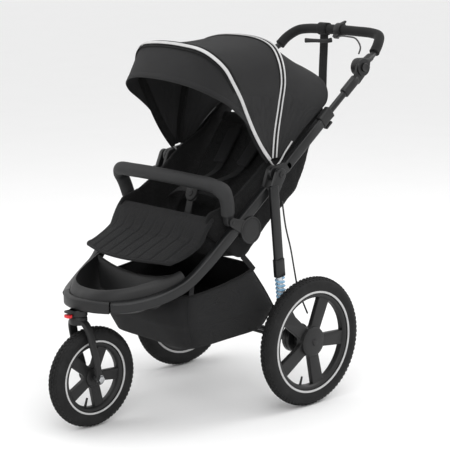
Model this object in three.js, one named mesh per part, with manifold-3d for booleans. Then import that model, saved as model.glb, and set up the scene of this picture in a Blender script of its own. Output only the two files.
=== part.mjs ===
// Three-wheeled jogging stroller: folding frame, sprung rear axle, swivelling front wheel, seat and canopy.
// Millimetres, +Z up, front towards -Y. The working origin is on the ground under the rear axle; the outer
// group moves it to the middle of the whole stroller.
import * as THREE from "three";
import { mergeVertices } from "three/addons/utils/BufferGeometryUtils.js";
import Module from "manifold-3d";

const wasm = await Module();
wasm.setup();

// ---- driving dimensions ----
const REAR_AXLE_Y = 153.1; // rear axle, behind the middle of the stroller
const GAP = 0.3; // space left between touching pieces
const REAR_WHEEL = { radius: 200, width: 43, rim: 163, track: 293.5 };
const FRONT_WHEEL = { radius: 150, width: 44, rim: 113, y: -610 };
const TUBE = { x: 232, width: 24, height: 32, bore: 11 };
const HINGE_DROP = 20; // the tubes run this far below the fold pin
const FOLD_PIN = { y: -100, z: 721, radius: 6 };
const FRAME_SLOPE = THREE.MathUtils.degToRad(38.2);
const COLLAR_AT = 238; // along the upper tube, from the fold pin
const KNUCKLE = { y: 278, z: 1010, radius: 27 };
const SLIDE_RADIUS = 10.3; // the telescoping tubes
const HANDLE_RADIUS = 9.5;
const GRIP_RADIUS = 16;
const HUB = { y: -205, z: 566, radius: 40 };
const SEAT_TUBE = { y: -205, z: 551, radius: 9 };
const BUMPER_PIVOT = { x: 226, y: -275, z: 597 };
const BUMPER_RADIUS = 19;
const SWIVEL = { y: -655, radius: 27 };
const CANOPY_PIVOT = { y: -79, z: 730, radius: 9 };
const CANOPY_CLOTH = 2;
const SEAT_HALF = 186;
const RECLINE = { y: -150, z: 518 };
const LEG = { top: [262, -130, 700], foot: [254, -84, 338], width: 33, rod: 5 };
const SPRING = { radius: 15.5, wire: 2.5, turns: 5 };
const SPRING_TOP = 292; // down the leg, from its top
const SPRING_BOTTOM = 362;
const AXLE_EYE_X = 259;

// ---- finishes ----
function finish(color, roughness, metalness = 0) {
  return { color, roughness, metalness };
}
const SATIN_BLACK = finish(0x17181a, 0.38, 0.6);
const BLACK_PLASTIC = finish(0x1b1c1e, 0.5);
const BARE_STEEL = finish(0xa8abb0, 0.32, 1);
const RUBBER = finish(0x161616, 0.85);
const FOAM = finish(0x1a1a1b, 0.95);
const CLOTH = finish(0x2b2c2f, 0.95);
const QUILTING = finish(0x222326, 0.9);
const LEATHERETTE = finish(0x2c2d30, 0.5);
const WEBBING = finish(0x1d1d1f, 0.85);
const RED_PLASTIC = finish(0xb3161b, 0.4);
const SPRING_PAINT = finish(0xb9c6d6, 0.35, 0.4);
const CABLE_JACKET = finish(0x131313, 0.45);

const stroller = new THREE.Group();
stroller.position.set(0, REAR_AXLE_Y, 0);

function place(name, geometry, look) {
  const mesh = new THREE.Mesh(geometry, new THREE.MeshStandardMaterial(look));
  mesh.name = name;
  stroller.add(mesh);
  return mesh;
}

// Calls make(side) for the left (+1) and right (-1) pieces; +X is the stroller's left.
function pair(name, look, make) {
  place(`${name}_left`, make(1), look);
  place(`${name}_right`, make(-1), look);
}

// ---- geometry helpers ----
function point(x, y, z) {
  return new THREE.Vector3(x, y, z);
}

function bare(geometry) {
  const copy = geometry.clone();
  copy.deleteAttribute("normal");
  copy.deleteAttribute("uv");
  return mergeVertices(copy, 1e-4);
}

function toSolid(geometry) {
  const mesh = bare(geometry);
  return new wasm.Manifold(new wasm.Mesh({
    numProp: 3,
    vertProperties: Float32Array.from(mesh.attributes.position.array),
    triVerts: Uint32Array.from(mesh.index.array),
  }));
}

function fromSolid(solid) {
  const mesh = solid.getMesh();
  const geometry = new THREE.BufferGeometry();
  geometry.setAttribute("position", new THREE.BufferAttribute(mesh.vertProperties, 3));
  geometry.setIndex(new THREE.BufferAttribute(mesh.triVerts, 1));
  geometry.computeVertexNormals();
  return geometry;
}

function join(...pieces) {
  return fromSolid(pieces.map(toSolid).reduce((a, b) => a.add(b)));
}

function cut(body, ...tools) {
  return fromSolid(tools.map(toSolid).reduce((a, b) => a.subtract(b), toSolid(body)));
}

// A mirrored copy across the middle plane, with its faces turned back outwards.
function mirror(geometry) {
  const copy = bare(geometry);
  copy.scale(-1, 1, 1);
  const index = copy.index.array;
  for (let i = 0; i < index.length; i += 3) {
    [index[i], index[i + 1]] = [index[i + 1], index[i]];
  }
  copy.computeVertexNormals();
  return copy;
}

function onSide(side, geometry) {
  return side > 0 ? geometry : mirror(geometry);
}

function disc(radius) {
  return new THREE.Shape().absarc(0, 0, radius, 0, 2 * Math.PI);
}

function ringShape(outer, inner) {
  const shape = disc(outer);
  shape.holes.push(new THREE.Path().absarc(0, 0, inner, 0, 2 * Math.PI, true));
  return shape;
}

function roundedRect(width, height, corner, y = 0, z = 0) {
  const [w, h, r] = [width / 2, height / 2, corner];
  const shape = new THREE.Shape();
  shape.moveTo(y + w, z - h + r);
  shape.absarc(y + w - r, z + h - r, r, 0, Math.PI / 2);
  shape.absarc(y - w + r, z + h - r, r, Math.PI / 2, Math.PI);
  shape.absarc(y - w + r, z - h + r, r, Math.PI, 1.5 * Math.PI);
  shape.absarc(y + w - r, z - h + r, r, 1.5 * Math.PI, 2 * Math.PI);
  return shape;
}

// A rectangle with its corners cut off, for tubes and bars.
function chamfered(width, height, corner) {
  const [w, h, c] = [width / 2, height / 2, corner];
  return polygon([[w - c, -h], [w, c - h], [w, h - c], [w - c, h], [c - w, h], [-w, h - c], [-w, c - h], [c - w, -h]]);
}

// A stadium around two circles of different radius, for links and lugs.
function link(y0, z0, r0, y1, z1, r1) {
  const along = Math.atan2(z1 - z0, y1 - y0);
  const spread = Math.acos((r0 - r1) / Math.hypot(y1 - y0, z1 - z0));
  const shape = new THREE.Shape();
  shape.absarc(y0, z0, r0, along + spread, along - spread + 2 * Math.PI);
  shape.absarc(y1, z1, r1, along - spread, along + spread);
  return shape;
}

function polygon(points) {
  return new THREE.Shape(points.map(([y, z]) => new THREE.Vector2(y, z)));
}

function along(path, section, steps, curveSegments = 5) {
  return new THREE.ExtrudeGeometry(section, { steps, curveSegments, bevelEnabled: false, extrudePath: path });
}

function straight(from, to, section, curveSegments = 5) {
  return along(new THREE.LineCurve3(from, to), section, 1, curveSegments);
}

function bent(points, section, steps, curveSegments = 5) {
  return along(new THREE.CatmullRomCurve3(points, false, "centripetal"), section, steps, curveSegments);
}

// A plate drawn in the side view (Y across, Z up) and thickened from x0 to x1.
function sidePlate(shape, x0, x1, curveSegments = 5) {
  const geometry = new THREE.ExtrudeGeometry(shape, { depth: x1 - x0, bevelEnabled: false, curveSegments });
  geometry.applyMatrix4(new THREE.Matrix4().makeBasis(point(0, 1, 0), point(0, 0, 1), point(1, 0, 0)));
  geometry.translate(x0, 0, 0);
  return geometry;
}

// A plate drawn from above (X across, Y along) and thickened from z0 to z1.
function floorPlate(shape, z0, z1, curveSegments = 2) {
  const geometry = new THREE.ExtrudeGeometry(shape, { depth: z1 - z0, bevelEnabled: false, curveSegments });
  geometry.translate(0, 0, z0);
  return geometry;
}

function barAcross(radius, x0, x1, y, z, sides = 16) {
  const geometry = new THREE.CylinderGeometry(radius, radius, x1 - x0, sides);
  geometry.rotateZ(Math.PI / 2);
  geometry.translate((x0 + x1) / 2, y, z);
  return geometry;
}

function post(radius, z0, z1, x, y, sides = 20) {
  const geometry = new THREE.CylinderGeometry(radius, radius, z1 - z0, sides);
  geometry.rotateX(Math.PI / 2);
  geometry.translate(x, y, (z0 + z1) / 2);
  return geometry;
}

// Turned about the X axis: the profile lists [distance along X, radius].
function turned(profile, y, z, segments = 40) {
  const geometry = new THREE.LatheGeometry(profile.map(([x, r]) => new THREE.Vector2(r, x)), segments);
  geometry.rotateZ(-Math.PI / 2);
  geometry.translate(0, y, z);
  return geometry;
}

function bothSides(points) {
  const far = points.filter((p) => p.x > 0).reverse().map((p) => point(-p.x, p.y, p.z));
  return [...points, ...far];
}

// A closed skin of even thickness over a grid of rows of points.
function clothSolid(rows, thickness) {
  const across = rows[0].length;
  const positions = [];
  const normalAt = (i, j) => {
    const du = rows[Math.min(i + 1, rows.length - 1)][j].clone().sub(rows[Math.max(i - 1, 0)][j]);
    const dv = rows[i][Math.min(j + 1, across - 1)].clone().sub(rows[i][Math.max(j - 1, 0)]);
    return du.cross(dv).normalize();
  };
  for (const lift of [0, -thickness]) {
    rows.forEach((row, i) => row.forEach((p, j) => {
      positions.push(...p.clone().addScaledVector(normalAt(i, j), lift).toArray());
    }));
  }
  const under = rows.length * across;
  const index = [];
  const quad = (a, b, c, d) => index.push(a, b, c, a, c, d);
  for (let i = 0; i + 1 < rows.length; i += 1) {
    for (let j = 0; j + 1 < across; j += 1) {
      const [a, b] = [i * across + j, (i + 1) * across + j];
      quad(a, b, b + 1, a + 1);
      quad(under + a, under + a + 1, under + b + 1, under + b);
    }
  }
  const edge = [];
  for (let j = 0; j < across - 1; j += 1) edge.push(j);
  for (let i = 0; i < rows.length - 1; i += 1) edge.push(i * across + across - 1);
  for (let j = across - 1; j > 0; j -= 1) edge.push((rows.length - 1) * across + j);
  for (let i = rows.length - 1; i > 0; i -= 1) edge.push(i * across);
  edge.forEach((a, k) => {
    const b = edge[(k + 1) % edge.length];
    quad(a, b, under + b, under + a);
  });
  const geometry = new THREE.BufferGeometry();
  geometry.setAttribute("position", new THREE.Float32BufferAttribute(positions, 3));
  geometry.setIndex(index);
  return geometry;
}

// An open tub through level loops: outside from the floor up, then inside back down to the floor.
function tub(levels, wall, sides = 22) {
  const loop = (level, inset, lift) => {
    const middle = (level.front + level.rear) / 2;
    const reach = (level.rear - level.front) / 2 - inset;
    return Array.from({ length: sides }, (_, k) => {
      const angle = (2 * Math.PI * k) / sides;
      const squared = (c) => Math.sign(c) * Math.abs(c) ** 0.3;
      const y = middle + reach * squared(Math.cos(angle));
      const blend = (y - level.front) / (level.rear - level.front);
      const z = level.zFront + (level.zRear - level.zFront) * blend + lift;
      return point((level.half - inset) * squared(Math.sin(angle)), y, z);
    });
  };
  const loops = [
    ...levels.map((level) => loop(level, 0, 0)),
    ...[...levels].reverse().map((level, k) => loop(level, wall, k === levels.length - 1 ? wall : 0)),
  ];
  const first = loops[0];
  const last = loops[loops.length - 1];
  const centre = (ring) => ring.reduce((sum, p) => sum.add(p), point(0, 0, 0)).divideScalar(sides);
  const positions = [...loops.flat(), centre(first), centre(last)].flatMap((p) => p.toArray());
  const base = loops.length * sides;
  const index = [];
  for (let k = 0; k < sides; k += 1) {
    const next = (k + 1) % sides;
    loops.slice(0, -1).forEach((_, i) => {
      const [a, b] = [i * sides, (i + 1) * sides];
      index.push(a + k, b + k, b + next, a + k, b + next, a + next);
    });
    index.push(base, k, next);
    index.push(base + 1, (loops.length - 1) * sides + next, (loops.length - 1) * sides + k);
  }
  const geometry = new THREE.BufferGeometry();
  geometry.setAttribute("position", new THREE.Float32BufferAttribute(positions, 3));
  geometry.setIndex(index);
  return geometry;
}

// ---- places along the frame ----
const tubeSection = chamfered(TUBE.width, TUBE.height, 6);
const tubeClearance = chamfered(TUBE.width + 1, TUBE.height + 1, 6);

// A point on the upper tube's line, a given distance up from the fold pin and off its line.
function upTube(distance, off = -HINGE_DROP, x = TUBE.x) {
  const [c, s] = [Math.cos(FRAME_SLOPE), Math.sin(FRAME_SLOPE)];
  return point(x, FOLD_PIN.y + distance * c - off * s, FOLD_PIN.z + distance * s + off * c);
}

// A point down the rear leg from its top.
const legLine = new THREE.LineCurve3(point(...LEG.top), point(...LEG.foot));
const legLength = legLine.getLength();
function downLeg(distance) {
  return legLine.getPoint(distance / legLength);
}

// ---- front frame: lower side tubes, hinge plates, hubs ----
function frontTubePath(section) {
  return bent([
    upTube(-52), upTube(-190), upTube(-270), upTube(-345),
    point(213, -425, 434), point(203, -460, 416), point(187, -500, 400), point(164, -540, 388),
    point(136, -580, 380), point(102, -616, 376),
  ], section, 18);
}

function hingeLap(x0, x1, way) {
  const foot = upTube(50 * way);
  const lap = sidePlate(link(FOLD_PIN.y, FOLD_PIN.z, 23, foot.y, foot.z, 15), x0, x1);
  const end = upTube(51.4 * way);
  const beyond = upTube(90 * way);
  const clear = straight(end, beyond, chamfered(60, 60, 5));
  return cut(lap, clear);
}

// The frame half of the fold hinge carries the pin for the upper tube and rear leg, and the canopy pin.
function foldHinge(side) {
  return onSide(side, join(
    hingeLap(220, 231.6, -1),
    barAcross(FOLD_PIN.radius, 221, 270, FOLD_PIN.y, FOLD_PIN.z),
    barAcross(10, 268.4, 270.8, FOLD_PIN.y, FOLD_PIN.z),
    barAcross(4, 204, 222, CANOPY_PIVOT.y, CANOPY_PIVOT.z, 12)));
}

// The hub caps the seat cross tube and reaches forward outside the tube to carry the bumper bar's pin.
function sideHub(side) {
  const cap = barAcross(HUB.radius, 244.4, 249.4, HUB.y, HUB.z, 24);
  const reach = sidePlate(link(HUB.y, HUB.z, 24, BUMPER_PIVOT.y, BUMPER_PIVOT.z, 14), 244.4, 248, 4);
  const pin = barAcross(5, 214, 246, BUMPER_PIVOT.y, BUMPER_PIVOT.z);
  const boss = barAcross(30, 218, 245, HUB.y, HUB.z, 16);
  const clear = straight(upTube(-90), upTube(-200), tubeClearance);
  return onSide(side, join(cap, reach, pin, cut(boss, clear)));
}

pair("front_tube", SATIN_BLACK, (side) => onSide(side, frontTubePath(tubeSection)));
pair("fold_hinge", BLACK_PLASTIC, foldHinge);
pair("side_hub", BLACK_PLASTIC, sideHub);
place("seat_cross_tube", barAcross(SEAT_TUBE.radius, -217.5, 217.5, SEAT_TUBE.y, SEAT_TUBE.z), SATIN_BLACK);

// ---- footplate, nose and swivel ----
function footplate() {
  const outline = (inset, front) => {
    const shape = new THREE.Shape();
    shape.moveTo(196 - inset, -455 - inset);
    shape.bezierCurveTo(190 - inset, -520, 150 - inset, -590, 70, front + 14);
    shape.quadraticCurveTo(40, front, 0, front);
    shape.quadraticCurveTo(-40, front, -70, front + 14);
    shape.bezierCurveTo(inset - 150, -590, inset - 190, -520, inset - 196, -455 - inset);
    return shape;
  };
  const rim = floorPlate(outline(0, -664), 370, 390, 3);
  const tray = floorPlate(outline(26, -618), 338, 371, 3);
  const nose = bent(bothSides([point(99, -618, 376), point(62, -645, 377), point(0, -660, 378)]),
    chamfered(22, 34, 7), 12);
  const well = floorPlate(outline(34, -600), 350, 440, 3);
  const backWall = sidePlate(polygon([[-470, 374], [-446, 374], [-440, 430], [-452, 430]]), -188, 188);
  const clear = frontTubePath(tubeClearance);
  return cut(join(rim, tray, nose, backWall), well, clear, mirror(clear));
}

function swivelHousing() {
  const body = post(SWIVEL.radius, 341, 360.4, 0, SWIVEL.y);
  const stemBore = post(8.6, 330, 352, 0, SWIVEL.y);
  return cut(body, stemBore);
}

function frontFork() {
  const crown = post(26, 316, 340.4, 0, SWIVEL.y, 20);
  const stem = post(8, 330, 348, 0, SWIVEL.y);
  const leg = bent([
    point(0, SWIVEL.y, 325), point(26, SWIVEL.y, 324), point(38, -648, 306),
    point(41, -632, 240), point(36, -614, 180), point(35, FRONT_WHEEL.y, 138),
  ], chamfered(26, 11, 3), 10);
  const bore = barAcross(6.3, -60, 60, FRONT_WHEEL.y, FRONT_WHEEL.radius);
  const nuts = mirror(barAcross(13, 41.6, 60, FRONT_WHEEL.y, FRONT_WHEEL.radius));
  return cut(join(crown, stem, leg, mirror(leg)), bore, nuts, mirror(nuts));
}

place("footplate", footplate(), BLACK_PLASTIC);
place("swivel_housing", swivelHousing(), BLACK_PLASTIC);
place("swivel_lock", floorPlate(roundedRect(22, 16, 4, 0, SWIVEL.y - 36), 342, 350), RED_PLASTIC);
place("front_fork", frontFork(), BLACK_PLASTIC);
place("front_axle", join(
  barAcross(6, -46, 46, FRONT_WHEEL.y, FRONT_WHEEL.radius),
  barAcross(11, -50, -42, FRONT_WHEEL.y, FRONT_WHEEL.radius, 6),
  barAcross(11, 42, 50, FRONT_WHEEL.y, FRONT_WHEEL.radius, 6)), BARE_STEEL);

// ---- wheels ----
function tyre(wheel, x, y) {
  const [w, r, inner] = [wheel.width / 2, wheel.radius, wheel.rim - 3];
  const profile = [[-w * 0.8, inner], [-w, r - 18], [-w * 0.6, r - 2], [0, r],
    [w * 0.6, r - 2], [w, r - 18], [w * 0.8, inner], [-w * 0.8, inner]];
  return turned(profile.map(([dx, radius]) => [x + dx, radius]), y, r, 30);
}

function spokedRim(wheel, x, y, bore) {
  const outer = wheel.rim - 4;
  const [windowOut, windowIn, spokes] = [outer * 0.84, outer * 0.4, 5];
  const shape = ringShape(outer, bore);
  for (let k = 0; k < spokes; k += 1) {
    const from = (2 * Math.PI * k) / spokes + 0.26;
    const to = (2 * Math.PI * (k + 1)) / spokes - 0.26;
    const window = new THREE.Path();
    window.absarc(0, 0, windowOut, from, to, false);
    window.absarc(0, 0, windowIn, to - 0.12, from + 0.12, true);
    window.closePath();
    shape.holes.push(window);
  }
  const half = wheel.width * 0.34;
  const geometry = sidePlate(shape, x - half, x + half, 5);
  geometry.translate(0, y, wheel.radius);
  return geometry;
}

pair("rear_tyre", RUBBER, (side) => tyre(REAR_WHEEL, side * REAR_WHEEL.track, 0));
pair("rear_rim", BLACK_PLASTIC, (side) => spokedRim(REAR_WHEEL, side * REAR_WHEEL.track, 0, 9));
pair("rear_hub_cap", BLACK_PLASTIC, (side) => {
  const face = REAR_WHEEL.track + REAR_WHEEL.width * 0.34 + GAP;
  const dome = [[face, 0], [face, 46], [face + 5, 42], [face + 10, 18], [face + 11, 0]];
  return onSide(side, turned(dome, 0, REAR_WHEEL.radius, 20));
});
place("front_tyre", tyre(FRONT_WHEEL, 0, FRONT_WHEEL.y), RUBBER);
place("front_rim", spokedRim(FRONT_WHEEL, 0, FRONT_WHEEL.y, 7.2), BLACK_PLASTIC);

// ---- rear legs, springs, axle and brakes ----
class Coil extends THREE.Curve {
  constructor(from, to, radius, turns) {
    super();
    Object.assign(this, { from, to, radius, turns });
    this.axis = to.clone().sub(from).normalize();
    this.side = point(1, 0, 0);
    this.up = this.axis.clone().cross(this.side);
  }

  getPoint(t, target = new THREE.Vector3()) {
    const angle = 2 * Math.PI * this.turns * t;
    return target.copy(this.from).lerp(this.to, t)
      .addScaledVector(this.side, this.radius * Math.cos(angle))
      .addScaledVector(this.up, this.radius * Math.sin(angle));
  }
}

function rearLeg(side) {
  const eye = sidePlate(link(FOLD_PIN.y, FOLD_PIN.z, 19, LEG.top[1] + 4, LEG.top[2] - 30, 15), 254, 268);
  const tube = straight(downLeg(10), downLeg(240), chamfered(16, LEG.width, 5));
  const sleeve = straight(downLeg(236), downLeg(SPRING_TOP), chamfered(22, LEG.width + 4, 6));
  const bore = barAcross(FOLD_PIN.radius + GAP, 240, 280, FOLD_PIN.y, FOLD_PIN.z);
  const rodBore = straight(downLeg(226), downLeg(SPRING_TOP + 5), disc(LEG.rod + 1.4), 4);
  return onSide(side, cut(join(eye, tube, sleeve), bore, rodBore));
}

function suspensionSpring(side) {
  const inset = SPRING.wire + GAP;
  const coil = new Coil(downLeg(SPRING_TOP + inset), downLeg(SPRING_BOTTOM - inset),
    SPRING.radius - SPRING.wire, SPRING.turns);
  return onSide(side, along(coil, disc(SPRING.wire), 8 * SPRING.turns, 2));
}

function lowerLeg(side) {
  const rod = straight(downLeg(SPRING_TOP - 36), downLeg(SPRING_BOTTOM + 5), disc(LEG.rod), 4);
  const seat = straight(downLeg(SPRING_BOTTOM), downLeg(SPRING_BOTTOM + 22), disc(SPRING.radius));
  const hub = point(AXLE_EYE_X, -8, REAR_WHEEL.radius + 12);
  const strut = straight(downLeg(SPRING_BOTTOM + 8), hub, chamfered(14, 30, 5));
  const eye = sidePlate(disc(26), AXLE_EYE_X - 8, AXLE_EYE_X + 8);
  eye.translate(0, 0, REAR_WHEEL.radius);
  const bore = barAcross(9 + GAP, AXLE_EYE_X - 20, AXLE_EYE_X + 20, 0, REAR_WHEEL.radius);
  return onSide(side, cut(join(rod, seat, strut, eye), bore));
}

pair("rear_leg", SATIN_BLACK, rearLeg);
pair("suspension_spring", SPRING_PAINT, suspensionSpring);
pair("lower_leg", BLACK_PLASTIC, lowerLeg);
function rearAxle() {
  const drum = turned([[212, 0], [212, 40], [216, 46], [248, 46], [248, 0]], 0, REAR_WHEEL.radius, 18);
  return join(
    barAcross(9, -270, 270, 0, REAR_WHEEL.radius),
    barAcross(7.6, -308, 308, 0, REAR_WHEEL.radius),
    drum, mirror(drum));
}
place("rear_axle", rearAxle(), SATIN_BLACK);

function brakePedal() {
  const bar = straight(point(-196, 26, 176), point(196, 26, 176), disc(6), 5);
  const pad = floorPlate(roundedRect(84, 34, 8, 0, 42), 170, 182, 1);
  return join(bar, pad);
}
place("brake_pedal", brakePedal(), BLACK_PLASTIC);

const lowerCable = [
  point(262, -92, 640), point(262, -76, 560), point(262, -54, 490), point(263, -38, 420),
  point(263, -22, 360), point(262, 4, 310), point(262, 22, 276),
];
place("brake_cable_lower", bent(lowerCable, disc(2.6), 24, 2), CABLE_JACKET);

// ---- upper frame, telescoping tubes, knuckles and handlebar ----
function upperTube(side) {
  const section = chamfered(TUBE.width, TUBE.height, 6);
  section.holes.push(new THREE.Path().absarc(0, 0, TUBE.bore, 0, 2 * Math.PI, true));
  const tube = straight(upTube(50), upTube(COLLAR_AT - GAP), section, 6);
  const bore = barAcross(FOLD_PIN.radius + GAP, 230, 250, FOLD_PIN.y, FOLD_PIN.z);
  return onSide(side, cut(join(tube, hingeLap(232.2, 244, 1)), bore));
}

function collar(side) {
  const section = chamfered(TUBE.width + 2, TUBE.height + 8, 7);
  section.holes.push(new THREE.Path().absarc(0, 0, TUBE.bore, 0, 2 * Math.PI, true));
  return onSide(side, straight(upTube(COLLAR_AT), upTube(COLLAR_AT + 52), section, 6));
}

function slideTube(side) {
  const tube = straight(upTube(COLLAR_AT - 90), upTube(440), disc(SLIDE_RADIUS), 6);
  const stem = upTube(436);
  const knuckle = sidePlate(link(KNUCKLE.y, KNUCKLE.z, KNUCKLE.radius, stem.y, stem.z, 17), 234, 246);
  const buttonRecess = barAcross(13.6, 241.5, 260, KNUCKLE.y, KNUCKLE.z);
  return onSide(side, cut(join(tube, knuckle), buttonRecess));
}

pair("upper_tube", SATIN_BLACK, upperTube);
pair("tube_collar", BLACK_PLASTIC, collar);
pair("slide_tube", SATIN_BLACK, slideTube);

function foldLatch(side) {
  const from = upTube(COLLAR_AT + 6, -HINGE_DROP - 28);
  const to = upTube(COLLAR_AT + 36, -HINGE_DROP - 28);
  return onSide(side, straight(from, to, chamfered(16, 8, 3)));
}
pair("collar_latch", BLACK_PLASTIC, foldLatch);

const gripPath = [
  point(209, 364, 1047), point(201, 390, 1072), point(179, 419, 1094), point(140, 429, 1101),
  point(70, 431, 1103), point(0, 431, 1104),
];

function handleTube() {
  return bent(bothSides([point(216, 336, 1032), ...gripPath]), disc(HANDLE_RADIUS), 24, 3);
}

function upperKnuckle(side) {
  return onSide(side, sidePlate(link(KNUCKLE.y, KNUCKLE.z, KNUCKLE.radius, 306, 1020, 16), 211, 233.4));
}

function foamGrip() {
  return bent(bothSides(gripPath), ringShape(GRIP_RADIUS, HANDLE_RADIUS + 2.5), 22, 4);
}
place("handle_tube", handleTube(), SATIN_BLACK);
pair("upper_knuckle", BLACK_PLASTIC, upperKnuckle);
place("foam_grip", foamGrip(), FOAM);
pair("knuckle_button", BLACK_PLASTIC, (side) => onSide(side, barAcross(13, 246.4, 251.5, KNUCKLE.y, KNUCKLE.z)));

// ---- brake lever, cable and wrist strap on the handlebar ----
const bar = { y: 431, z: 1104 };
function leverBracket() {
  const clamp = sidePlate(ringShape(22, GRIP_RADIUS + 1), -11, 13);
  clamp.translate(0, bar.y, bar.z);
  const lug = straight(point(1, bar.y - 13, bar.z - 13), point(1, bar.y - 22, bar.z - 25), chamfered(22, 14, 3));
  return join(clamp, lug);
}

function brakeLever() {
  return bent([
    point(-11, bar.y - 26, bar.z - 32), point(-30, bar.y - 30, bar.z - 36),
    point(-80, bar.y - 31, bar.z - 38), point(-126, bar.y - 31, bar.z - 40),
  ], chamfered(7, 15, 2), 8);
}

function upperCable() {
  return bent([
    point(14, 407, 1082), point(60, 372, 1090), point(122, 336, 1094), point(168, 324, 1090),
    point(196, 314, 1066), point(200, 302, 1046),
  ], disc(2.6), 22, 2);
}
place("lever_bracket", leverBracket(), BLACK_PLASTIC);
place("brake_lever", brakeLever(), BLACK_PLASTIC);
place("brake_cable_upper", upperCable(), CABLE_JACKET);

function wristStrap() {
  const collarRing = sidePlate(ringShape(GRIP_RADIUS + 4, GRIP_RADIUS + 2), -89, -51);
  collarRing.translate(0, bar.y, bar.z);
  const web = bent([point(-70, bar.y, bar.z - 19), point(-70, bar.y - 2, bar.z - 90),
    point(-70, bar.y - 5, bar.z - 200)], chamfered(36, 3, 1), 3);
  return join(collarRing, web);
}
place("wrist_strap", wristStrap(), WEBBING);

// ---- bumper bar ----
function bumperBar() {
  const { x, y, z } = BUMPER_PIVOT;
  const eye = sidePlate(link(y, z, 13, y - 4, z + 34, 15), x - 10, x + 10, 4);
  const bore = barAcross(5 + GAP, -x - 20, x + 20, y, z);
  const bar = bent(bothSides([
    point(x, y - 3, z + 22), point(x + 7, y - 12, z + 58), point(x + 7, y - 28, z + 92),
    point(x - 16, y - 45, z + 109), point(x - 90, y - 55, z + 115), point(0, y - 61, z + 118),
  ]), disc(BUMPER_RADIUS), 22, 4);
  return cut(join(bar, eye, mirror(eye)), bore);
}
place("bumper_bar", bumperBar(), LEATHERETTE);

// ---- canopy ----
const midBow = [
  point(208, -79, 742), point(209, -72, 832), point(209, -56, 916), point(206, -42, 984),
  point(188, -36, 1040), point(150, -27, 1078), point(90, -22, 1098), point(0, -20, 1104),
];
const frontBow = [
  point(212, -84, 742), point(212, -126, 790), point(212.5, -158, 836), point(213, -188, 890),
  point(212, -214, 942), point(206, -236, 984), point(190, -256, 1030), point(160, -277, 1064),
  point(126, -292, 1083), point(66, -305, 1093), point(0, -309, 1096),
];
const rearEdge = [
  point(208, -58, 742), point(209, -20, 780), point(210, 30, 826), point(210, 94, 874),
  point(204, 148, 912), point(168, 174, 960), point(110, 148, 1002), point(0, 116, 1036),
];
const visorHem = [
  point(213, -108, 764), point(214, -143, 806), point(216, -171, 848), point(217, -196, 878),
  point(214, -250, 922), point(200, -286, 946), point(172, -318, 968), point(131, -343, 985),
  point(70, -366, 998), point(0, -374, 1002),
];
const CLOTH_HALF = 216.4; // clears the side tubes and collars as the frame folds
const CLOTH_LIFT = 1.017; // the cloth lies this much further out than the hoops' centres

function bow(points, x) {
  const eye = sidePlate(ringShape(CANOPY_PIVOT.radius, 4 + GAP), x - 2, x + 2, 5);
  eye.translate(0, CANOPY_PIVOT.y, CANOPY_PIVOT.z);
  const [first, ...rest] = points;
  const start = point(x, first.y, first.z - 5);
  const strip = polygon([[-1.8, -4], [1.8, -4], [1.8, 4], [-1.8, 4]]);
  const hoop = bent(bothSides([start, ...rest]), strip, 36, 1);
  return join(eye, hoop, mirror(eye));
}

// Rows from one hoop to another, from one share of the way across to the other.
function between(a, b, from, to, sag, rowCount = 4, across = 18) {
  const [first, last] = [a, b].map((points) => new THREE.CatmullRomCurve3(bothSides(points), false, "centripetal"));
  return Array.from({ length: rowCount }, (_, i) => {
    const share = from + ((to - from) * i) / (rowCount - 1);
    return Array.from({ length: across + 1 }, (__, j) => {
      const t = 0.06 + (0.88 * j) / across;
      const dip = sag * Math.sin(Math.PI * share) * Math.sin(Math.PI * t);
      const p = first.getPoint(t).lerp(last.getPoint(t), share);
      const x = THREE.MathUtils.clamp(p.x * 1.03, -CLOTH_HALF, CLOTH_HALF);
      return point(x, CANOPY_PIVOT.y + (p.y - CANOPY_PIVOT.y) * CLOTH_LIFT,
        CANOPY_PIVOT.z + (p.z - CANOPY_PIVOT.z) * CLOTH_LIFT - dip);
    });
  });
}

place("canopy_bow_mid", bow(midBow, 207.5), SATIN_BLACK);
place("canopy_bow_front", bow(frontBow, 212.5), SATIN_BLACK);
place("canopy_rear_panel", clothSolid(between(rearEdge, midBow, 0, 0.97, 6), CANOPY_CLOTH), CLOTH);
place("canopy_front_panel", clothSolid(between(midBow, frontBow, 0.02, 0.96, 6), CANOPY_CLOTH), CLOTH);
place("canopy_visor", clothSolid(between(frontBow, visorHem, 0.1, 1, 0), CANOPY_CLOTH), CLOTH);

// ---- seat ----
function seatTubeSleeve() {
  return barAcross(SEAT_TUBE.radius + GAP, -210, 210, SEAT_TUBE.y, SEAT_TUBE.z);
}

function seatBase() {
  const pad = sidePlate(polygon([[-340, 602], [-176, 562], [-164, 500], [-196, 468], [-256, 476], [-330, 548],
    [-346, 580]]), -SEAT_HALF, SEAT_HALF);
  return cut(pad, seatTubeSleeve());
}

function backrest() {
  const [length, thickness, lean] = [400, 46, THREE.MathUtils.degToRad(54)];
  const pad = sidePlate(roundedRect(length, thickness, 12, length / 2 + 24, 0), -SEAT_HALF, SEAT_HALF, 2);
  pad.rotateX(lean);
  pad.translate(0, RECLINE.y, RECLINE.z);
  return pad;
}

function seatSide(side) {
  const wing = polygon([[-338, 560], [-200, 470], [-98, 552], [34, 660], [92, 780], [150, 896], [96, 886],
    [0, 790], [-90, 706], [-210, 650], [-338, 612]]);
  return onSide(side, cut(sidePlate(wing, SEAT_HALF + 4, 203), seatTubeSleeve()));
}

function calfRest() {
  const pad = polygon([[-350, 588], [-362, 590], [-392, 550], [-482, 508], [-490, 486], [-398, 520], [-352, 552]]);
  return sidePlate(pad, -195, 195);
}

place("seat_base", seatBase(), CLOTH);
place("backrest", backrest(), CLOTH);
pair("seat_side", CLOTH, seatSide);
place("calf_rest", calfRest(), QUILTING);

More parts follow.
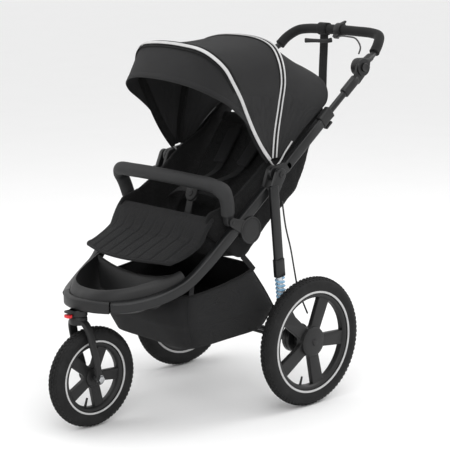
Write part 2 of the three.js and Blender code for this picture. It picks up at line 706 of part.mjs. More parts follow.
function crotchBuckle() {
  const strap = straight(point(0, -236, 583), point(0, -220, 632), chamfered(26, 4, 1));
  const plate = straight(point(0, -222, 626), point(0, -206, 672), chamfered(44, 12, 3));
  return join(strap, plate);
}
place("harness_buckle", crotchBuckle(), BLACK_PLASTIC);

// ---- basket ----
const basketLevels = [
  { front: -392, rear: -68, half: 184, zFront: 222, zRear: 238 },
  { front: -430, rear: -24, half: 198, zFront: 300, zRear: 308 },
  { front: -440, rear: -76, half: 206, zFront: 346, zRear: 380 },
  { front: -430, rear: -132, half: 208, zFront: 390, zRear: 440 },
];
place("basket", tub(basketLevels, 3), CLOTH);

export default stroller;
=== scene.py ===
"""Three-wheeled jogging stroller: every visible piece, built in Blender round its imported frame."""

import math

import bmesh
import bpy
import numpy as np
from bpy.props import FloatProperty, FloatVectorProperty, PointerProperty
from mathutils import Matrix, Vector


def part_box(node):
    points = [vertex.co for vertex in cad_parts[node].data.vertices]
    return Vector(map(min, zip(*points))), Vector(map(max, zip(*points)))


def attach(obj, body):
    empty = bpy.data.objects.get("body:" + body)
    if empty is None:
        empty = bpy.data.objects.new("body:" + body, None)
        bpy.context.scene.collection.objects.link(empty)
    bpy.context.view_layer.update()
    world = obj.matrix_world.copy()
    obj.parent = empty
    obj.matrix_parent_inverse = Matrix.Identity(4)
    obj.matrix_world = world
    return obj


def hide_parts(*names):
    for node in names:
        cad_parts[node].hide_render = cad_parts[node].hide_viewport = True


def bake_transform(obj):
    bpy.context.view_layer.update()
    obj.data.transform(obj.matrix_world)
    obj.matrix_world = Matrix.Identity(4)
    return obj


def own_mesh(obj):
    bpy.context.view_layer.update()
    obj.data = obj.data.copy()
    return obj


bl_info = {
    "name": "Jogging Stroller",
    "version": (1, 0, 0),
    "blender": (4, 5, 0),
    "location": "View3D > Sidebar > Stroller",
    "description": "Builds the looks of a folding three-wheeled stroller round its packed frame",
    "category": "Add Mesh",
}

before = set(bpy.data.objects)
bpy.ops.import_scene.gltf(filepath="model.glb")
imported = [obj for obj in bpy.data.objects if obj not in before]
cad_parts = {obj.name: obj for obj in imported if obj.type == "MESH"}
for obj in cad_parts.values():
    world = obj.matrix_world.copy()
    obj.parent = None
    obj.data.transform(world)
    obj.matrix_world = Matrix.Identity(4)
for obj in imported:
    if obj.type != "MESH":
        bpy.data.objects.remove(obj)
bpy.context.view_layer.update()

MM = 0.001
AXLE_Y = sum(corner.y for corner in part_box("rear_axle")) / 2
REAR_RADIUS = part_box("rear_tyre_left")[1].z / 2 / MM
FRONT_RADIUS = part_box("front_tyre")[1].z / 2 / MM
FRONT_AXLE_Y = -610
REAR_TRACK = 293.5
SLOPE = math.radians(38.2)
PIN = (-100, 721)
TUBE_X = 232
TUBE_DROP = -20
KNUCKLE = (278, 1010)
HUB = (-205, 566)
BUMPER = (226, -275, 597)
CANOPY_PIVOT = (-79, 730)
CLOTH_HALF = 216.4
CLOTH_LIFT = 1.017
BAR = (431, 1104)
LEG_TOP = np.array((262.0, -130.0, 700.0))
LEG_FOOT = np.array((254.0, -84.0, 338.0))
LEG_LINE = (LEG_FOOT - LEG_TOP) / np.linalg.norm(LEG_FOOT - LEG_TOP)
CROSS_TUBE = (-205, 551)
PEDAL = (26, 176)
SWIVEL_Y = -655
BACK_FOOT = (-150, 518)
BACK_LEAN = math.radians(54)
SQUARED_CORNER = 0.3
FLOOR_HALF_WIDTH = 60.0
WORLD_STRENGTH = 0.92
CAMERA_PLACE = (3.367, -3.0539, 1.467)
CAMERA_TURN = (math.radians(78.44), 0, math.radians(47.11))
CAMERA_LENS = 120.9
SIM_FRAMES = 20


# ---- places and curves, in millimetres from the ground under the rear axle ----
def at(point):
    """A place in millimetres as one in metres in the row frame."""
    return Vector((point[0] * MM, point[1] * MM + AXLE_Y, point[2] * MM))


def up_tube(distance, off=TUBE_DROP, x=TUBE_X):
    """A point up the sloping frame tube from the fold pin, and off its line."""
    c, s = math.cos(SLOPE), math.sin(SLOPE)
    return (x, PIN[0] + distance * c - off * s, PIN[1] + distance * s + off * c)


def down_leg(distance):
    """A point down the rear leg from its top."""
    return tuple(LEG_TOP + LEG_LINE * distance)


def curve_through(points, steps):
    """Evenly spaced places on a smooth curve through the points."""
    knots = [np.array(p, float) for p in points]
    knots = [2 * knots[0] - knots[1], *knots, 2 * knots[-1] - knots[-2]]
    dense = []
    for a, b, c, d in zip(knots, knots[1:], knots[2:], knots[3:]):
        gaps = [max(np.linalg.norm(q - p), 1e-6) ** 0.5 for p, q in ((a, b), (b, c), (c, d))]
        t1 = gaps[0]
        t2 = t1 + gaps[1]
        t3 = t2 + gaps[2]
        for t in np.linspace(t1, t2, 20, endpoint=False):
            ab = a + (b - a) * t / t1
            bc = b + (c - b) * (t - t1) / (t2 - t1)
            cd = c + (d - c) * (t - t2) / (t3 - t2)
            abc = ab + (bc - ab) * t / t2
            bcd = bc + (cd - bc) * (t - t1) / (t3 - t1)
            dense.append(abc + (bcd - abc) * (t - t1) / (t2 - t1))
    dense = np.array([*dense, knots[-2]])
    length = np.concatenate([[0], np.cumsum(np.linalg.norm(np.diff(dense, axis=0), axis=1))])
    wanted = np.linspace(0, length[-1], steps + 1)
    return np.stack([np.interp(wanted, length, dense[:, k]) for k in range(3)], 1)


def mirrored(points):
    """The points of the left half, then the same on the right, from side to side."""
    return [*points, *[(-x, y, z) for x, y, z in reversed(points) if x > 0]]


def rounded(width, height, corner, steps=4):
    """The outline of a rectangle with round corners."""
    outline = []
    for k, (a, b) in enumerate(((1, 1), (-1, 1), (-1, -1), (1, -1))):
        middle = (a * (width / 2 - corner), b * (height / 2 - corner))
        for angle in np.linspace(0, math.pi / 2, steps + 1):
            turn = angle + k * math.pi / 2
            outline.append((middle[0] + corner * math.cos(turn), middle[1] + corner * math.sin(turn)))
    return outline


def circle(radius, sides=24, middle=(0, 0)):
    """A round outline."""
    turns = np.linspace(0, 2 * math.pi, sides, endpoint=False)
    return [(middle[0] + radius * math.cos(t), middle[1] + radius * math.sin(t)) for t in turns]


def link(y0, z0, r0, y1, z1, r1, steps=14):
    """The outline round two circles of different size, as a lug has."""
    heading = math.atan2(z1 - z0, y1 - y0)
    spread = math.acos((r0 - r1) / math.hypot(y1 - y0, z1 - z0))
    outline = []
    for y, z, r, start, stop in ((y0, z0, r0, spread, 2 * math.pi - spread), (y1, z1, r1, -spread, spread)):
        for turn in np.linspace(heading + start, heading + stop, steps):
            outline.append((y + r * math.cos(turn), z + r * math.sin(turn)))
    return outline


# ---- meshes ----
def new_mesh(name, points, faces, smooth=50):
    """A mesh object from places in millimetres, with its faces turned outwards."""
    mesh = bpy.data.meshes.new(name)
    mesh.from_pydata([at(p) for p in points], [], [tuple(int(i) for i in f) for f in faces])
    work = bmesh.new()
    work.from_mesh(mesh)
    bmesh.ops.remove_doubles(work, verts=work.verts, dist=1e-6)
    bmesh.ops.recalc_face_normals(work, faces=work.faces)
    work.to_mesh(mesh)
    work.free()
    mesh.validate()
    mesh.shade_smooth()
    mesh.set_sharp_from_angle(angle=math.radians(smooth))
    made = bpy.data.objects.new(name, mesh)
    bpy.context.scene.collection.objects.link(made)
    return made


def loft(name, rings, caps=True, loop=False, smooth=50, closed=True):
    """A skin over rings of points; closed rings wrap round, and loop joins the last ring to the first."""
    rings = [np.array(r, float) for r in rings]
    count = len(rings[0])
    faces = []
    last = len(rings) if loop else len(rings) - 1
    for i in range(last):
        a, b = i * count, ((i + 1) % len(rings)) * count
        for k in range(count if closed else count - 1):
            n = (k + 1) % count
            faces.append((a + k, a + n, b + n, b + k))
    if caps and closed and not loop:
        faces.append(tuple(range(count)))
        faces.append(tuple(range((len(rings) - 1) * count, len(rings) * count)))
    return new_mesh(name, np.concatenate(rings), faces, smooth)


def frames_along(path, side):
    """The directions across and up at each place of a path, carried along without twist."""
    path = np.array(path, float)
    tangents = np.gradient(path, axis=0)
    tangents /= np.linalg.norm(tangents, axis=1)[:, None]
    across = np.array(side, float)
    result = []
    for t in tangents:
        across = across - np.dot(across, t) * t
        across /= np.linalg.norm(across)
        result.append((across.copy(), np.cross(across, t)))
    return path, tangents, result


def sweep(name, path, section, side=(1, 0, 0), ease=2.0, scale=None, smooth=50):
    """A bar of one section along a path, with its ends eased over; scale gives a width and height share."""
    path, tangents, axes = frames_along(path, side)
    outline = np.array(section, float)
    least = max(min(outline[:, 0].max(), outline[:, 1].max()), 0.5)
    ease = min(ease, least * 0.8)
    share = scale or (lambda t: (1, 1))
    rings = []

    def ring(middle, axis, grow, t):
        w, h = share(t)
        flat = outline * np.array((w, h)) * grow
        rings.append(middle + flat[:, :1] * axis[0] + flat[:, 1:] * axis[1])

    last = len(path) - 1
    ends = ((ease, 0.0), (0.3 * ease, 0.3 * ease), (0.0, ease))
    for inset, forward in ends:
        ring(path[0] + tangents[0] * forward, axes[0], 1 - inset / least, 0)
    for i in range(1, last):
        ring(path[i], axes[i], 1, i / last)
    for inset, forward in reversed(ends):
        ring(path[-1] - tangents[-1] * forward, axes[-1], 1 - inset / least, 1)
    return loft(name, rings, smooth=smooth)


def tube(name, points, radius, steps=48, sides=20, ease=1.5, side=(1, 0, 0)):
    """A round bar on a smooth curve."""
    return sweep(name, curve_through(points, steps), circle(radius, sides), side=side, ease=ease)


def lathe(name, profile, y, z, segments=64, loop=False, side=1, smooth=40):
    """A piece turned about a line across the stroller; the profile lists X and radius."""
    rings = [[(side * x, *p) for p in circle(max(r, 0.01), segments, (y, z))] for x, r in profile]
    return loft(name, rings, caps=not loop, loop=loop, smooth=smooth)


def post(name, profile, x, y, segments=48):
    """A piece turned about an upright line; the profile lists height and radius."""
    rings = [[(*p, z) for p in circle(max(r, 0.01), segments, (x, y))] for z, r in profile]
    return loft(name, rings, smooth=40)


def plate(name, outlines, low, high, bevel=1.0, facing="side", side=1, smooth=35):
    """A flat piece with eased edges: the first outline is its edge and the others are holes in it."""
    drawing = bpy.data.curves.new(name, "CURVE")
    drawing.dimensions = "2D"
    drawing.fill_mode = "BOTH"
    drawing.extrude = (high - low) / 2 - bevel
    drawing.bevel_depth = bevel
    drawing.bevel_resolution = 2
    drawing.offset = -bevel
    for outline in outlines:
        spline = drawing.splines.new("POLY")
        spline.points.add(len(outline) - 1)
        for point, (a, b) in zip(spline.points, outline):
            point.co = (a, b, 0, 1)
        spline.use_cyclic_u = True
    holder = bpy.data.objects.new(name, drawing)
    bpy.context.scene.collection.objects.link(holder)
    bpy.context.view_layer.update()
    flat = bpy.data.meshes.new_from_object(holder.evaluated_get(bpy.context.evaluated_depsgraph_get()))
    middle = (low + high) / 2
    points = []
    for v in flat.vertices:
        a, b, c = v.co
        points.append((side * (c + middle), a, b) if facing == "side" else (a, b, c + middle))
    faces = [tuple(p.vertices) for p in flat.polygons]
    bpy.data.objects.remove(holder)
    bpy.data.meshes.remove(flat)
    bpy.data.curves.remove(drawing)
    return new_mesh(name, points, faces, smooth)


def joined(name, pieces):
    """Several meshes as one object."""
    work = bmesh.new()
    for piece in pieces:
        work.from_mesh(piece.data)
    mesh = bpy.data.meshes.new(name)
    work.to_mesh(mesh)
    work.free()
    for piece in pieces:
        bpy.data.objects.remove(piece)
    mesh.shade_smooth()
    mesh.set_sharp_from_angle(angle=math.radians(40))
    made = bpy.data.objects.new(name, mesh)
    bpy.context.scene.collection.objects.link(made)
    return made


def apply_modifier(piece, kind, **settings):
    """Adds one modifier, sets it and keeps its result."""
    modifier = piece.modifiers.new(kind.title(), kind)
    for key, value in settings.items():
        setattr(modifier, key, value)
    bpy.context.view_layer.update()
    shape = bpy.data.meshes.new_from_object(piece.evaluated_get(bpy.context.evaluated_depsgraph_get()))
    piece.modifiers.clear()
    piece.data = shape
    shape.shade_smooth()
    return piece


def cloth_sheet(name, rows, thickness=1.4, subdivide=1):
    """A thin skin over a grid of points, smoothed and given a real thickness."""
    sheet = loft(name, rows, caps=False, closed=False, smooth=180)
    if subdivide:
        apply_modifier(sheet, "SUBSURF", levels=subdivide, render_levels=subdivide)
    return apply_modifier(sheet, "SOLIDIFY", thickness=thickness * MM, offset=0.0)


def stuffed(piece, voxel=6, cap=12, pressure=4.0):
    """Swells a closed mesh like a filled cushion, with cloth simulation, and keeps the shape."""
    apply_modifier(piece, "REMESH", mode="VOXEL", voxel_size=voxel * MM)
    before = np.array([v.co for v in piece.data.vertices], float)
    cloth = piece.modifiers.new("Cloth", "CLOTH")
    cloth.settings.use_pressure = True
    cloth.settings.uniform_pressure_force = pressure
    cloth.settings.effector_weights.gravity = 0
    cloth.settings.quality = 4
    cloth.point_cache.frame_end = SIM_FRAMES
    scene = bpy.context.scene
    for step in range(1, SIM_FRAMES + 1):
        scene.frame_set(step)
    shape = bpy.data.meshes.new_from_object(piece.evaluated_get(bpy.context.evaluated_depsgraph_get()))
    piece.modifiers.clear()
    scene.frame_set(1)
    after = np.array([v.co for v in shape.vertices], float)
    move = after - before
    reach = np.linalg.norm(move, axis=1)[:, None]
    limit = cap * MM * np.tanh(reach / (cap * MM))
    after = before + move / np.maximum(reach, 1e-9) * limit
    shape.vertices.foreach_set("co", after.ravel())
    piece.data = shape
    return piece


def reshape(piece, change):
    """Moves every point of a mesh by a function of places in millimetres."""
    co = np.array([v.co for v in piece.data.vertices], float)
    local = (co - np.array((0, AXLE_Y, 0))) / MM
    moved = change(local)
    piece.data.vertices.foreach_set("co", (moved * MM + np.array((0, AXLE_Y, 0))).ravel())
    piece.data.update()
    return piece


# ---- finishes ----
class Signal:
    """One output of a shader node, with the arithmetic that shaders are written in."""

    def __init__(self, shader, socket):
        self.shader = shader
        self.socket = socket

    def _math(self, operation, a, b):
        return self.shader.node("ShaderNodeMath", {"operation": operation}, {0: a, 1: b})

    def __add__(self, other):
        return self._math("ADD", self, other)

    def __sub__(self, other):
        return self._math("SUBTRACT", self, other)

    def __rsub__(self, other):
        return self._math("SUBTRACT", other, self)

    def __mul__(self, other):
        return self._math("MULTIPLY", self, other)

    def __pow__(self, other):
        return self._math("POWER", self, other)

    __radd__ = __add__
    __rmul__ = __mul__


class Finish:
    """A named material whose nodes are made by one method."""

    def __init__(self, name, **constants):
        self.material = bpy.data.materials.new(name)
        self.material.use_nodes = True
        self.tree = self.material.node_tree
        self.shader = self.tree.nodes["Principled BSDF"]
        for key, value in constants.items():
            self.shader.inputs[key.replace("_", " ").title().replace("Ior", "IOR")].default_value = value
        self.place = self.node("ShaderNodeTexCoord", {}, {}, "Object")

    def node(self, kind, settings, inputs, output=0):
        made = self.tree.nodes.new(kind)
        for key, value in settings.items():
            setattr(made, key, value)
        for key, value in inputs.items():
            if isinstance(value, Signal):
                self.tree.links.new(value.socket, made.inputs[key])
            else:
                made.inputs[key].default_value = value
        return Signal(self, made.outputs[output])

    def noise(self, scale, detail=3.0, roughness=0.55, place=None, distortion=0.0):
        values = {"Vector": place or self.place, "Scale": scale, "Detail": detail,
                  "Roughness": roughness, "Distortion": distortion}
        return self.node("ShaderNodeTexNoise", {}, values)

    def cells(self, scale, feature="F1"):
        return self.node("ShaderNodeTexVoronoi", {"feature": feature},
                         {"Vector": self.place, "Scale": scale}, "Distance")

    def threads(self, scale, direction):
        return self.node("ShaderNodeTexWave", {"bands_direction": direction},
                         {"Vector": self.place, "Scale": scale, "Distortion": 0.6, "Detail": 1.0}, "Fac")

    def tint(self, mask, low, high):
        """One colour where the mask is 0 and another where it is 1."""
        made = self.tree.nodes.new("ShaderNodeMix")
        made.data_type = "RGBA"
        self.tree.links.new(mask.socket, made.inputs["Factor"])
        made.inputs[6].default_value = (*low, 1)
        made.inputs[7].default_value = (*high, 1)
        return Signal(self, made.outputs[2])

    def spread(self, mask, low, high):
        """The mask between two values stretched to run from 0 to 1."""
        return self.node("ShaderNodeMapRange", {"clamp": True},
                         {"Value": mask, "From Min": low, "From Max": high})

    def drive(self, **signals):
        for key, signal in signals.items():
            self.tree.links.new(signal.socket, self.shader.inputs[key.replace("_", " ").title()])
        return self

    def bump(self, height, distance, strength=1.0):
        values = {"Height": height, "Distance": distance, "Strength": strength}
        return self.drive(normal=self.node("ShaderNodeBump", {}, values))


def lighter(colour, share):
    return tuple(min(1.0, c * share) for c in colour[:3])


def cloth_finish(name, colour, thread=620.0, crease=0.0022, roughness=0.86, crease_scale=14.0):
    """Woven polyester: crossing threads, soft creases and a faint fade."""
    made = Finish(name, sheen_weight=0.04, sheen_roughness=0.5, specular_ior_level=0.14)
    weave = made.threads(thread, "X") * made.threads(thread, "Z") + made.threads(thread, "Y") * 0.5
    folds = made.noise(crease_scale, 3.0, 0.5, distortion=0.8)
    fade = made.spread(made.noise(7.0, 4.0), 0.3, 0.7)
    fleck = made.spread(made.noise(900.0, 1.0), 0.35, 0.65)
    made.drive(base_color=made.tint(fade * 0.6 + fleck * 0.4, lighter(colour, 0.78), lighter(colour, 1.28)))
    made.drive(roughness=fade * 0.08 + (roughness - 0.04))
    made.bump(folds * (crease / 0.0004) + weave, 0.0004)
    return made.material


def plastic_finish(name, colour, roughness=0.46, grain=520.0, depth=0.00012):
    """Moulded nylon with a fine spark grain and softly scuffed patches."""
    made = Finish(name, specular_ior_level=0.32)
    grains = made.noise(grain, 2.0, 0.6)
    scuff = made.spread(made.noise(9.0, 5.0, 0.6), 0.42, 0.74)
    made.drive(base_color=made.tint(scuff, colour[:3], lighter(colour, 1.35)))
    made.drive(roughness=scuff * 0.12 + grains * 0.06 + (roughness - 0.05))
    made.bump(grains, depth)
    return made.material


def coat_finish(name, colour, metallic=0.35, roughness=0.34):
    """Satin powder coat: orange peel, and thin wear towards the edges of noise patches."""
    made = Finish(name, metallic=metallic, specular_ior_level=0.5)
    peel = made.noise(330.0, 2.0, 0.5)
    dust = made.spread(made.noise(16.0, 6.0, 0.65), 0.48, 0.8)
    made.drive(base_color=made.tint(dust, colour[:3], lighter(colour, 1.6)))
    made.drive(roughness=dust * 0.14 + peel * 0.05 + (roughness - 0.03))
    made.bump(peel, 0.00010)
    return made.material


def steel_finish(name, colour):
    """Bright plated steel with fine brushing."""
    made = Finish(name, metallic=1.0)
    brushed = made.noise(240.0, 4.0, 0.7)
    made.drive(base_color=made.tint(brushed, lighter(colour, 0.8), lighter(colour, 1.15)))
    made.drive(roughness=brushed * 0.16 + 0.2)
    made.bump(brushed, 0.00004)
    return made.material


def rubber_finish(name, colour, roughness=0.72):
    """Tyre rubber: dusty high spots over a darker, fine-pored skin."""
    made = Finish(name, specular_ior_level=0.2)
    pores = made.noise(420.0, 3.0, 0.6)
    dust = made.spread(made.noise(34.0, 6.0, 0.7), 0.45, 0.75)
    made.drive(base_color=made.tint(dust, colour[:3], lighter(colour, 2.1)))
    made.drive(roughness=dust * 0.14 + (roughness - 0.04))
    made.bump(pores, 0.00022)
    return made.material


def foam_finish(name, colour):
    """Closed-cell foam with a soft pebbled skin."""
    made = Finish(name, specular_ior_level=0.2, sheen_weight=0.04)
    cells = made.cells(520.0)
    patches = made.noise(18.0, 4.0)
    made.drive(base_color=made.tint(patches, colour[:3], lighter(colour, 1.5)))
    made.drive(roughness=patches * 0.14 + 0.72)
    made.bump(cells, 0.00035)
    return made.material


def leather_finish(name, colour):
    """Leatherette: closed pebble grain with slightly polished high spots."""
    made = Finish(name, specular_ior_level=0.24)
    pebbles = made.cells(430.0)
    wear = made.spread(made.noise(11.0, 4.0), 0.35, 0.7)
    made.drive(base_color=made.tint(wear, lighter(colour, 0.85), lighter(colour, 1.25)))
    made.drive(roughness=pebbles * 0.2 + wear * 0.08 + 0.5)
    made.bump(pebbles, 0.0003)
    return made.material


def webbing_finish(name, colour):
    """Flat nylon webbing with a twill rib."""
    made = Finish(name, sheen_weight=0.04, specular_ior_level=0.18)
    rib = made.node("ShaderNodeTexWave", {"bands_direction": "DIAGONAL"},
                    {"Vector": made.place, "Scale": 330.0, "Distortion": 0.3}, "Fac")
    fade = made.noise(30.0, 3.0)
    made.drive(base_color=made.tint(rib * 0.5 + fade * 0.5, lighter(colour, 0.7), lighter(colour, 1.5)))
    made.drive(roughness=fade * 0.1 + 0.72)
    made.bump(rib, 0.0003)
    return made.material


def piping_finish(name, colour):
    """Silver-grey reflective piping with a beaded face."""
    made = Finish(name, specular_ior_level=0.5)
    beads = made.cells(900.0)
    grime = made.spread(made.noise(40.0, 4.0), 0.4, 0.8)
    made.drive(base_color=made.tint(grime, colour[:3], lighter(colour, 0.82)))
    made.drive(roughness=grime * 0.15 + 0.38)
    made.bump(beads, 0.0001)
    return made.material


def gloss_finish(name, colour, roughness=0.28):
    """Smooth plastic or paint with faint smears."""
    made = Finish(name, specular_ior_level=0.5)
    smears = made.noise(60.0, 5.0, 0.6)
    made.drive(base_color=made.tint(smears, lighter(colour, 0.88), lighter(colour, 1.12)))
    made.drive(roughness=smears * 0.18 + (roughness - 0.05))
    made.bump(smears, 0.00006)
    return made.material


class StrollerSizes(bpy.types.PropertyGroup):
    tread_depth: FloatProperty(name="Tread depth", description="Height of the tyre's tread blocks",
                               default=0.0026, unit="LENGTH")
    piping_width: FloatProperty(name="Piping width", description="Width of the canopy's light piping",
                                default=0.0115, unit="LENGTH")
    cushion_swell: FloatProperty(name="Cushion swell",
                                 description="How far a pad may swell when it is filled",
                                 default=0.009, unit="LENGTH")
    canopy_sag: FloatProperty(name="Canopy sag",
                              description="How far the hood cloth dips between its hoops",
                              default=0.009, unit="LENGTH")
    key_power: FloatProperty(name="Key light", description="Power of the large soft key light",
                             default=46.0, unit="POWER")


def colour_property(name, text, value):
    return FloatVectorProperty(name=name, description=text, default=value, subtype="COLOR", size=3, min=0,
                               max=1)


class StrollerColours(bpy.types.PropertyGroup):
    frame_coat: colour_property("Frame", "Powder coat of the tubes", (0.0105, 0.0108, 0.0113))
    moulding: colour_property("Mouldings", "Black moulded nylon", (0.0110, 0.0110, 0.0113))
    canopy: colour_property("Canopy", "Charcoal canopy cloth", (0.0215, 0.0215, 0.0222))
    seat: colour_property("Seat", "Black seat cloth", (0.0070, 0.0070, 0.0073))
    quilting: colour_property("Calf rest", "Quilted charcoal cloth", (0.0130, 0.0130, 0.0136))
    cover: colour_property("Bumper cover", "Charcoal leatherette", (0.0220, 0.0222, 0.0228))
    rubber: colour_property("Tyres", "Tyre rubber", (0.0098, 0.0098, 0.0100))
    piping: colour_property("Piping", "Reflective piping and wheel rings", (0.50, 0.50, 0.50))
    spring: colour_property("Springs", "Painted coil springs", (0.22, 0.42, 0.60))
    lock: colour_property("Swivel lock", "Red lock button", (0.62, 0.006, 0.012))


FINISHES = {}


def finish_for(slot):
    """The material that goes with a slot of the record, made when it is first asked for."""
    colours = bpy.context.scene.stroller_colours
    makers = {
        "frame_black": lambda: coat_finish("frame_black", colours.frame_coat),
        "moulded_black": lambda: plastic_finish("moulded_black", colours.moulding),
        "axle_steel": lambda: steel_finish("axle_steel", (0.42, 0.43, 0.44)),
        "tyre_rubber": lambda: rubber_finish("tyre_rubber", colours.rubber),
        "grip_foam": lambda: foam_finish("grip_foam", (0.0085, 0.0085, 0.0087)),
        "canopy_cloth": lambda: cloth_finish("canopy_cloth", colours.canopy, crease=0.0010),
        "seat_cloth": lambda: cloth_finish("seat_cloth", colours.seat, crease=0.0042, crease_scale=22.0),
        "basket_cloth": lambda: cloth_finish("basket_cloth", lighter(colours.seat, 1.9), crease=0.0008,
                                             roughness=0.74, crease_scale=6.0),
        "quilted_cloth": lambda: cloth_finish("quilted_cloth", colours.quilting, crease=0.0008),
        "bumper_leatherette": lambda: leather_finish("bumper_leatherette", colours.cover),
        "strap_webbing": lambda: webbing_finish("strap_webbing", (0.0090, 0.0090, 0.0095)),
        "lock_red": lambda: gloss_finish("lock_red", colours.lock),
        "spring_paint": lambda: gloss_finish("spring_paint", colours.spring),
        "damper_white": lambda: gloss_finish("damper_white", (0.62, 0.66, 0.70), 0.35),
        "cable_jacket": lambda: gloss_finish("cable_jacket", (0.012, 0.012, 0.012), 0.4),
        "piping_reflective": lambda: piping_finish("piping_reflective", colours.piping),
    }
    if slot not in FINISHES:
        FINISHES[slot] = makers[slot]()
    return FINISHES[slot]


def dress(piece, body, slot, *nodes, look=None):
    """Gives a piece its finish, hangs it on the body that it rides on and hides the CAD nodes that it
    stands for.
    """
    piece.data.materials.clear()
    piece.data.materials.append(finish_for(look or slot))
    if body:
        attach(piece, body)
    if nodes:
        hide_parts(*nodes)
    return piece


def keep_node(name, slot):
    """Gives a CAD node that stays in view the finish of its slot."""
    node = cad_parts[name]
    node.data.materials.clear()
    node.data.materials.append(finish_for(slot))


SIDES = (("left", 1), ("right", -1))


def flipped(points, side):
    """The places on the other side of the middle where side is -1."""
    return [(side * p[0], p[1], p[2]) for p in points]


# ---- frame ----
FRONT_TUBE = [up_tube(-52), up_tube(-190), up_tube(-270), up_tube(-345), (213, -425, 434), (203, -460, 416),
              (187, -500, 400), (164, -540, 388), (136, -580, 380), (102, -616, 376)]


class STROLLER_OT_frame(bpy.types.Operator):
    """Builds the sloping tubes, collars and latches of the frame"""

    bl_idname = "stroller.frame"
    bl_label = "Frame tubes"

    def execute(self, context):
        for word, side in SIDES:
            path = flipped(curve_through(FRONT_TUBE, 72), side)
            dress(sweep(f"lower_tube_{word}", path, rounded(24, 32, 6.5), ease=1.5),
                  "front_frame", "frame_black", f"front_tube_{word}")
            upper = sweep(f"main_tube_{word}", flipped([up_tube(d) for d in (48, 100, 180, 237.7)], side),
                          rounded(24, 32, 6.5), ease=1.5)
            lap = plate("lap", [link(*PIN, 23, *up_tube(50)[1:], 15)], 232.2, 244, 2, side=side)
            dress(joined(f"upper_tube_{word}_cover", [upper, lap]), "upper_frame", "frame_black",
                  f"upper_tube_{word}")
            stations = [up_tube(d) for d in (238, 244, 264, 284, 290)]
            flare = lambda t: (1, 1 + 0.05 * math.cos(2 * math.pi * t))
            dress(sweep(f"collar_{word}", flipped(stations, side), rounded(26, 38, 8), ease=2, scale=flare),
                  "upper_frame", "moulded_black", f"tube_collar_{word}")
            bar = sweep(f"latch_{word}", flipped([up_tube(d, -48) for d in (244, 254, 264, 274)], side),
                        rounded(16, 8, 3), ease=1.5)
            dress(bar, f"latch_{word}", "moulded_black", f"collar_latch_{word}")
            slide = sweep("slide", flipped([up_tube(d) for d in (150, 300, 372, 440)], side),
                          rounded(20.6, 20.6, 10.2, 6), ease=1)
            socket = sweep("socket", flipped([up_tube(d) for d in (368, 380, 410, 437)], side),
                           rounded(25, 30, 9), ease=3)
            stem = up_tube(436)[1:]
            lug = plate("lug", [link(*KNUCKLE, 27, *stem, 17)], 234, 241.5, 2, side=side)
            ring = lathe("ring", [(240, 27), (245, 27), (246, 26), (246, 14), (240, 14)], *KNUCKLE,
                         loop=True,
                         side=side)
            dress(joined(f"slide_tube_{word}_cover", [slide, socket, lug, ring]), "slide_frame",
                  "frame_black",
                  f"slide_tube_{word}")
            cap = [(242, 0), (242, 12.6), (250.4, 13), (251.4, 11.6), (250.6, 9), (251, 0)]
            dress(lathe(f"knuckle_cap_{word}", cap, *KNUCKLE, side=side), f"button_{word}", "moulded_black",
                  f"knuckle_button_{word}")
        return {"FINISHED"}


class STROLLER_OT_hinges(bpy.types.Operator):
    """Builds the fold hinges, the round side hubs and the seat cross tube"""

    bl_idname = "stroller.hinges"
    bl_label = "Hinges and hubs"

    def execute(self, context):
        for word, side in SIDES:
            foot = up_tube(-50)[1:]
            lap = plate("lap", [link(*PIN, 23, *foot, 15)], 220, 231.6, 2, side=side)
            bolt = [(221, 0), (221, 6), (268, 6), (268.4, 10), (270.2, 10), (270.8, 8.4), (270.8, 4),
                    (269.6, 3.4),
                    (269.6, 0)]
            pin = lathe("pin", bolt, *PIN, side=side, segments=32)
            pivot = lathe("pivot", [(204, 0), (204, 4), (222, 4), (222, 0)], *CANOPY_PIVOT, side=side,
                          segments=24)
            dress(joined(f"hinge_{word}", [lap, pin, pivot]), "front_frame", "moulded_black",
                  f"fold_hinge_{word}")
            face = [(218, 0), (218, 29), (220, 30), (244, 30), (244.4, 39), (246, 40.5), (248.6, 40.5),
                    (249.8, 39.4), (250, 37.4), (249.2, 36), (248, 35.4), (248, 34), (248.8, 32),
                    (249.4, 20),
                    (249.6, 0)]
            cap = lathe("cap", face, *HUB, side=side, segments=72)
            reach = plate("reach", [link(*HUB, 24, *BUMPER[1:], 14)], 244.4, 248, 1, side=side)
            pin = lathe("pin", [(214, 0), (214, 5), (249.4, 5), (249.4, 0)], *BUMPER[1:], side=side,
                        segments=24)
            dress(joined(f"hub_{word}", [cap, reach, pin]), "front_frame", "moulded_black",
                  f"side_hub_{word}")
        ends = [(-217.5, 0), (-217.5, 9), (217.5, 9), (217.5, 0)]
        dress(lathe("cross_tube", ends, *CROSS_TUBE, segments=32), "front_frame", "frame_black",
              "seat_cross_tube")
        return {"FINISHED"}


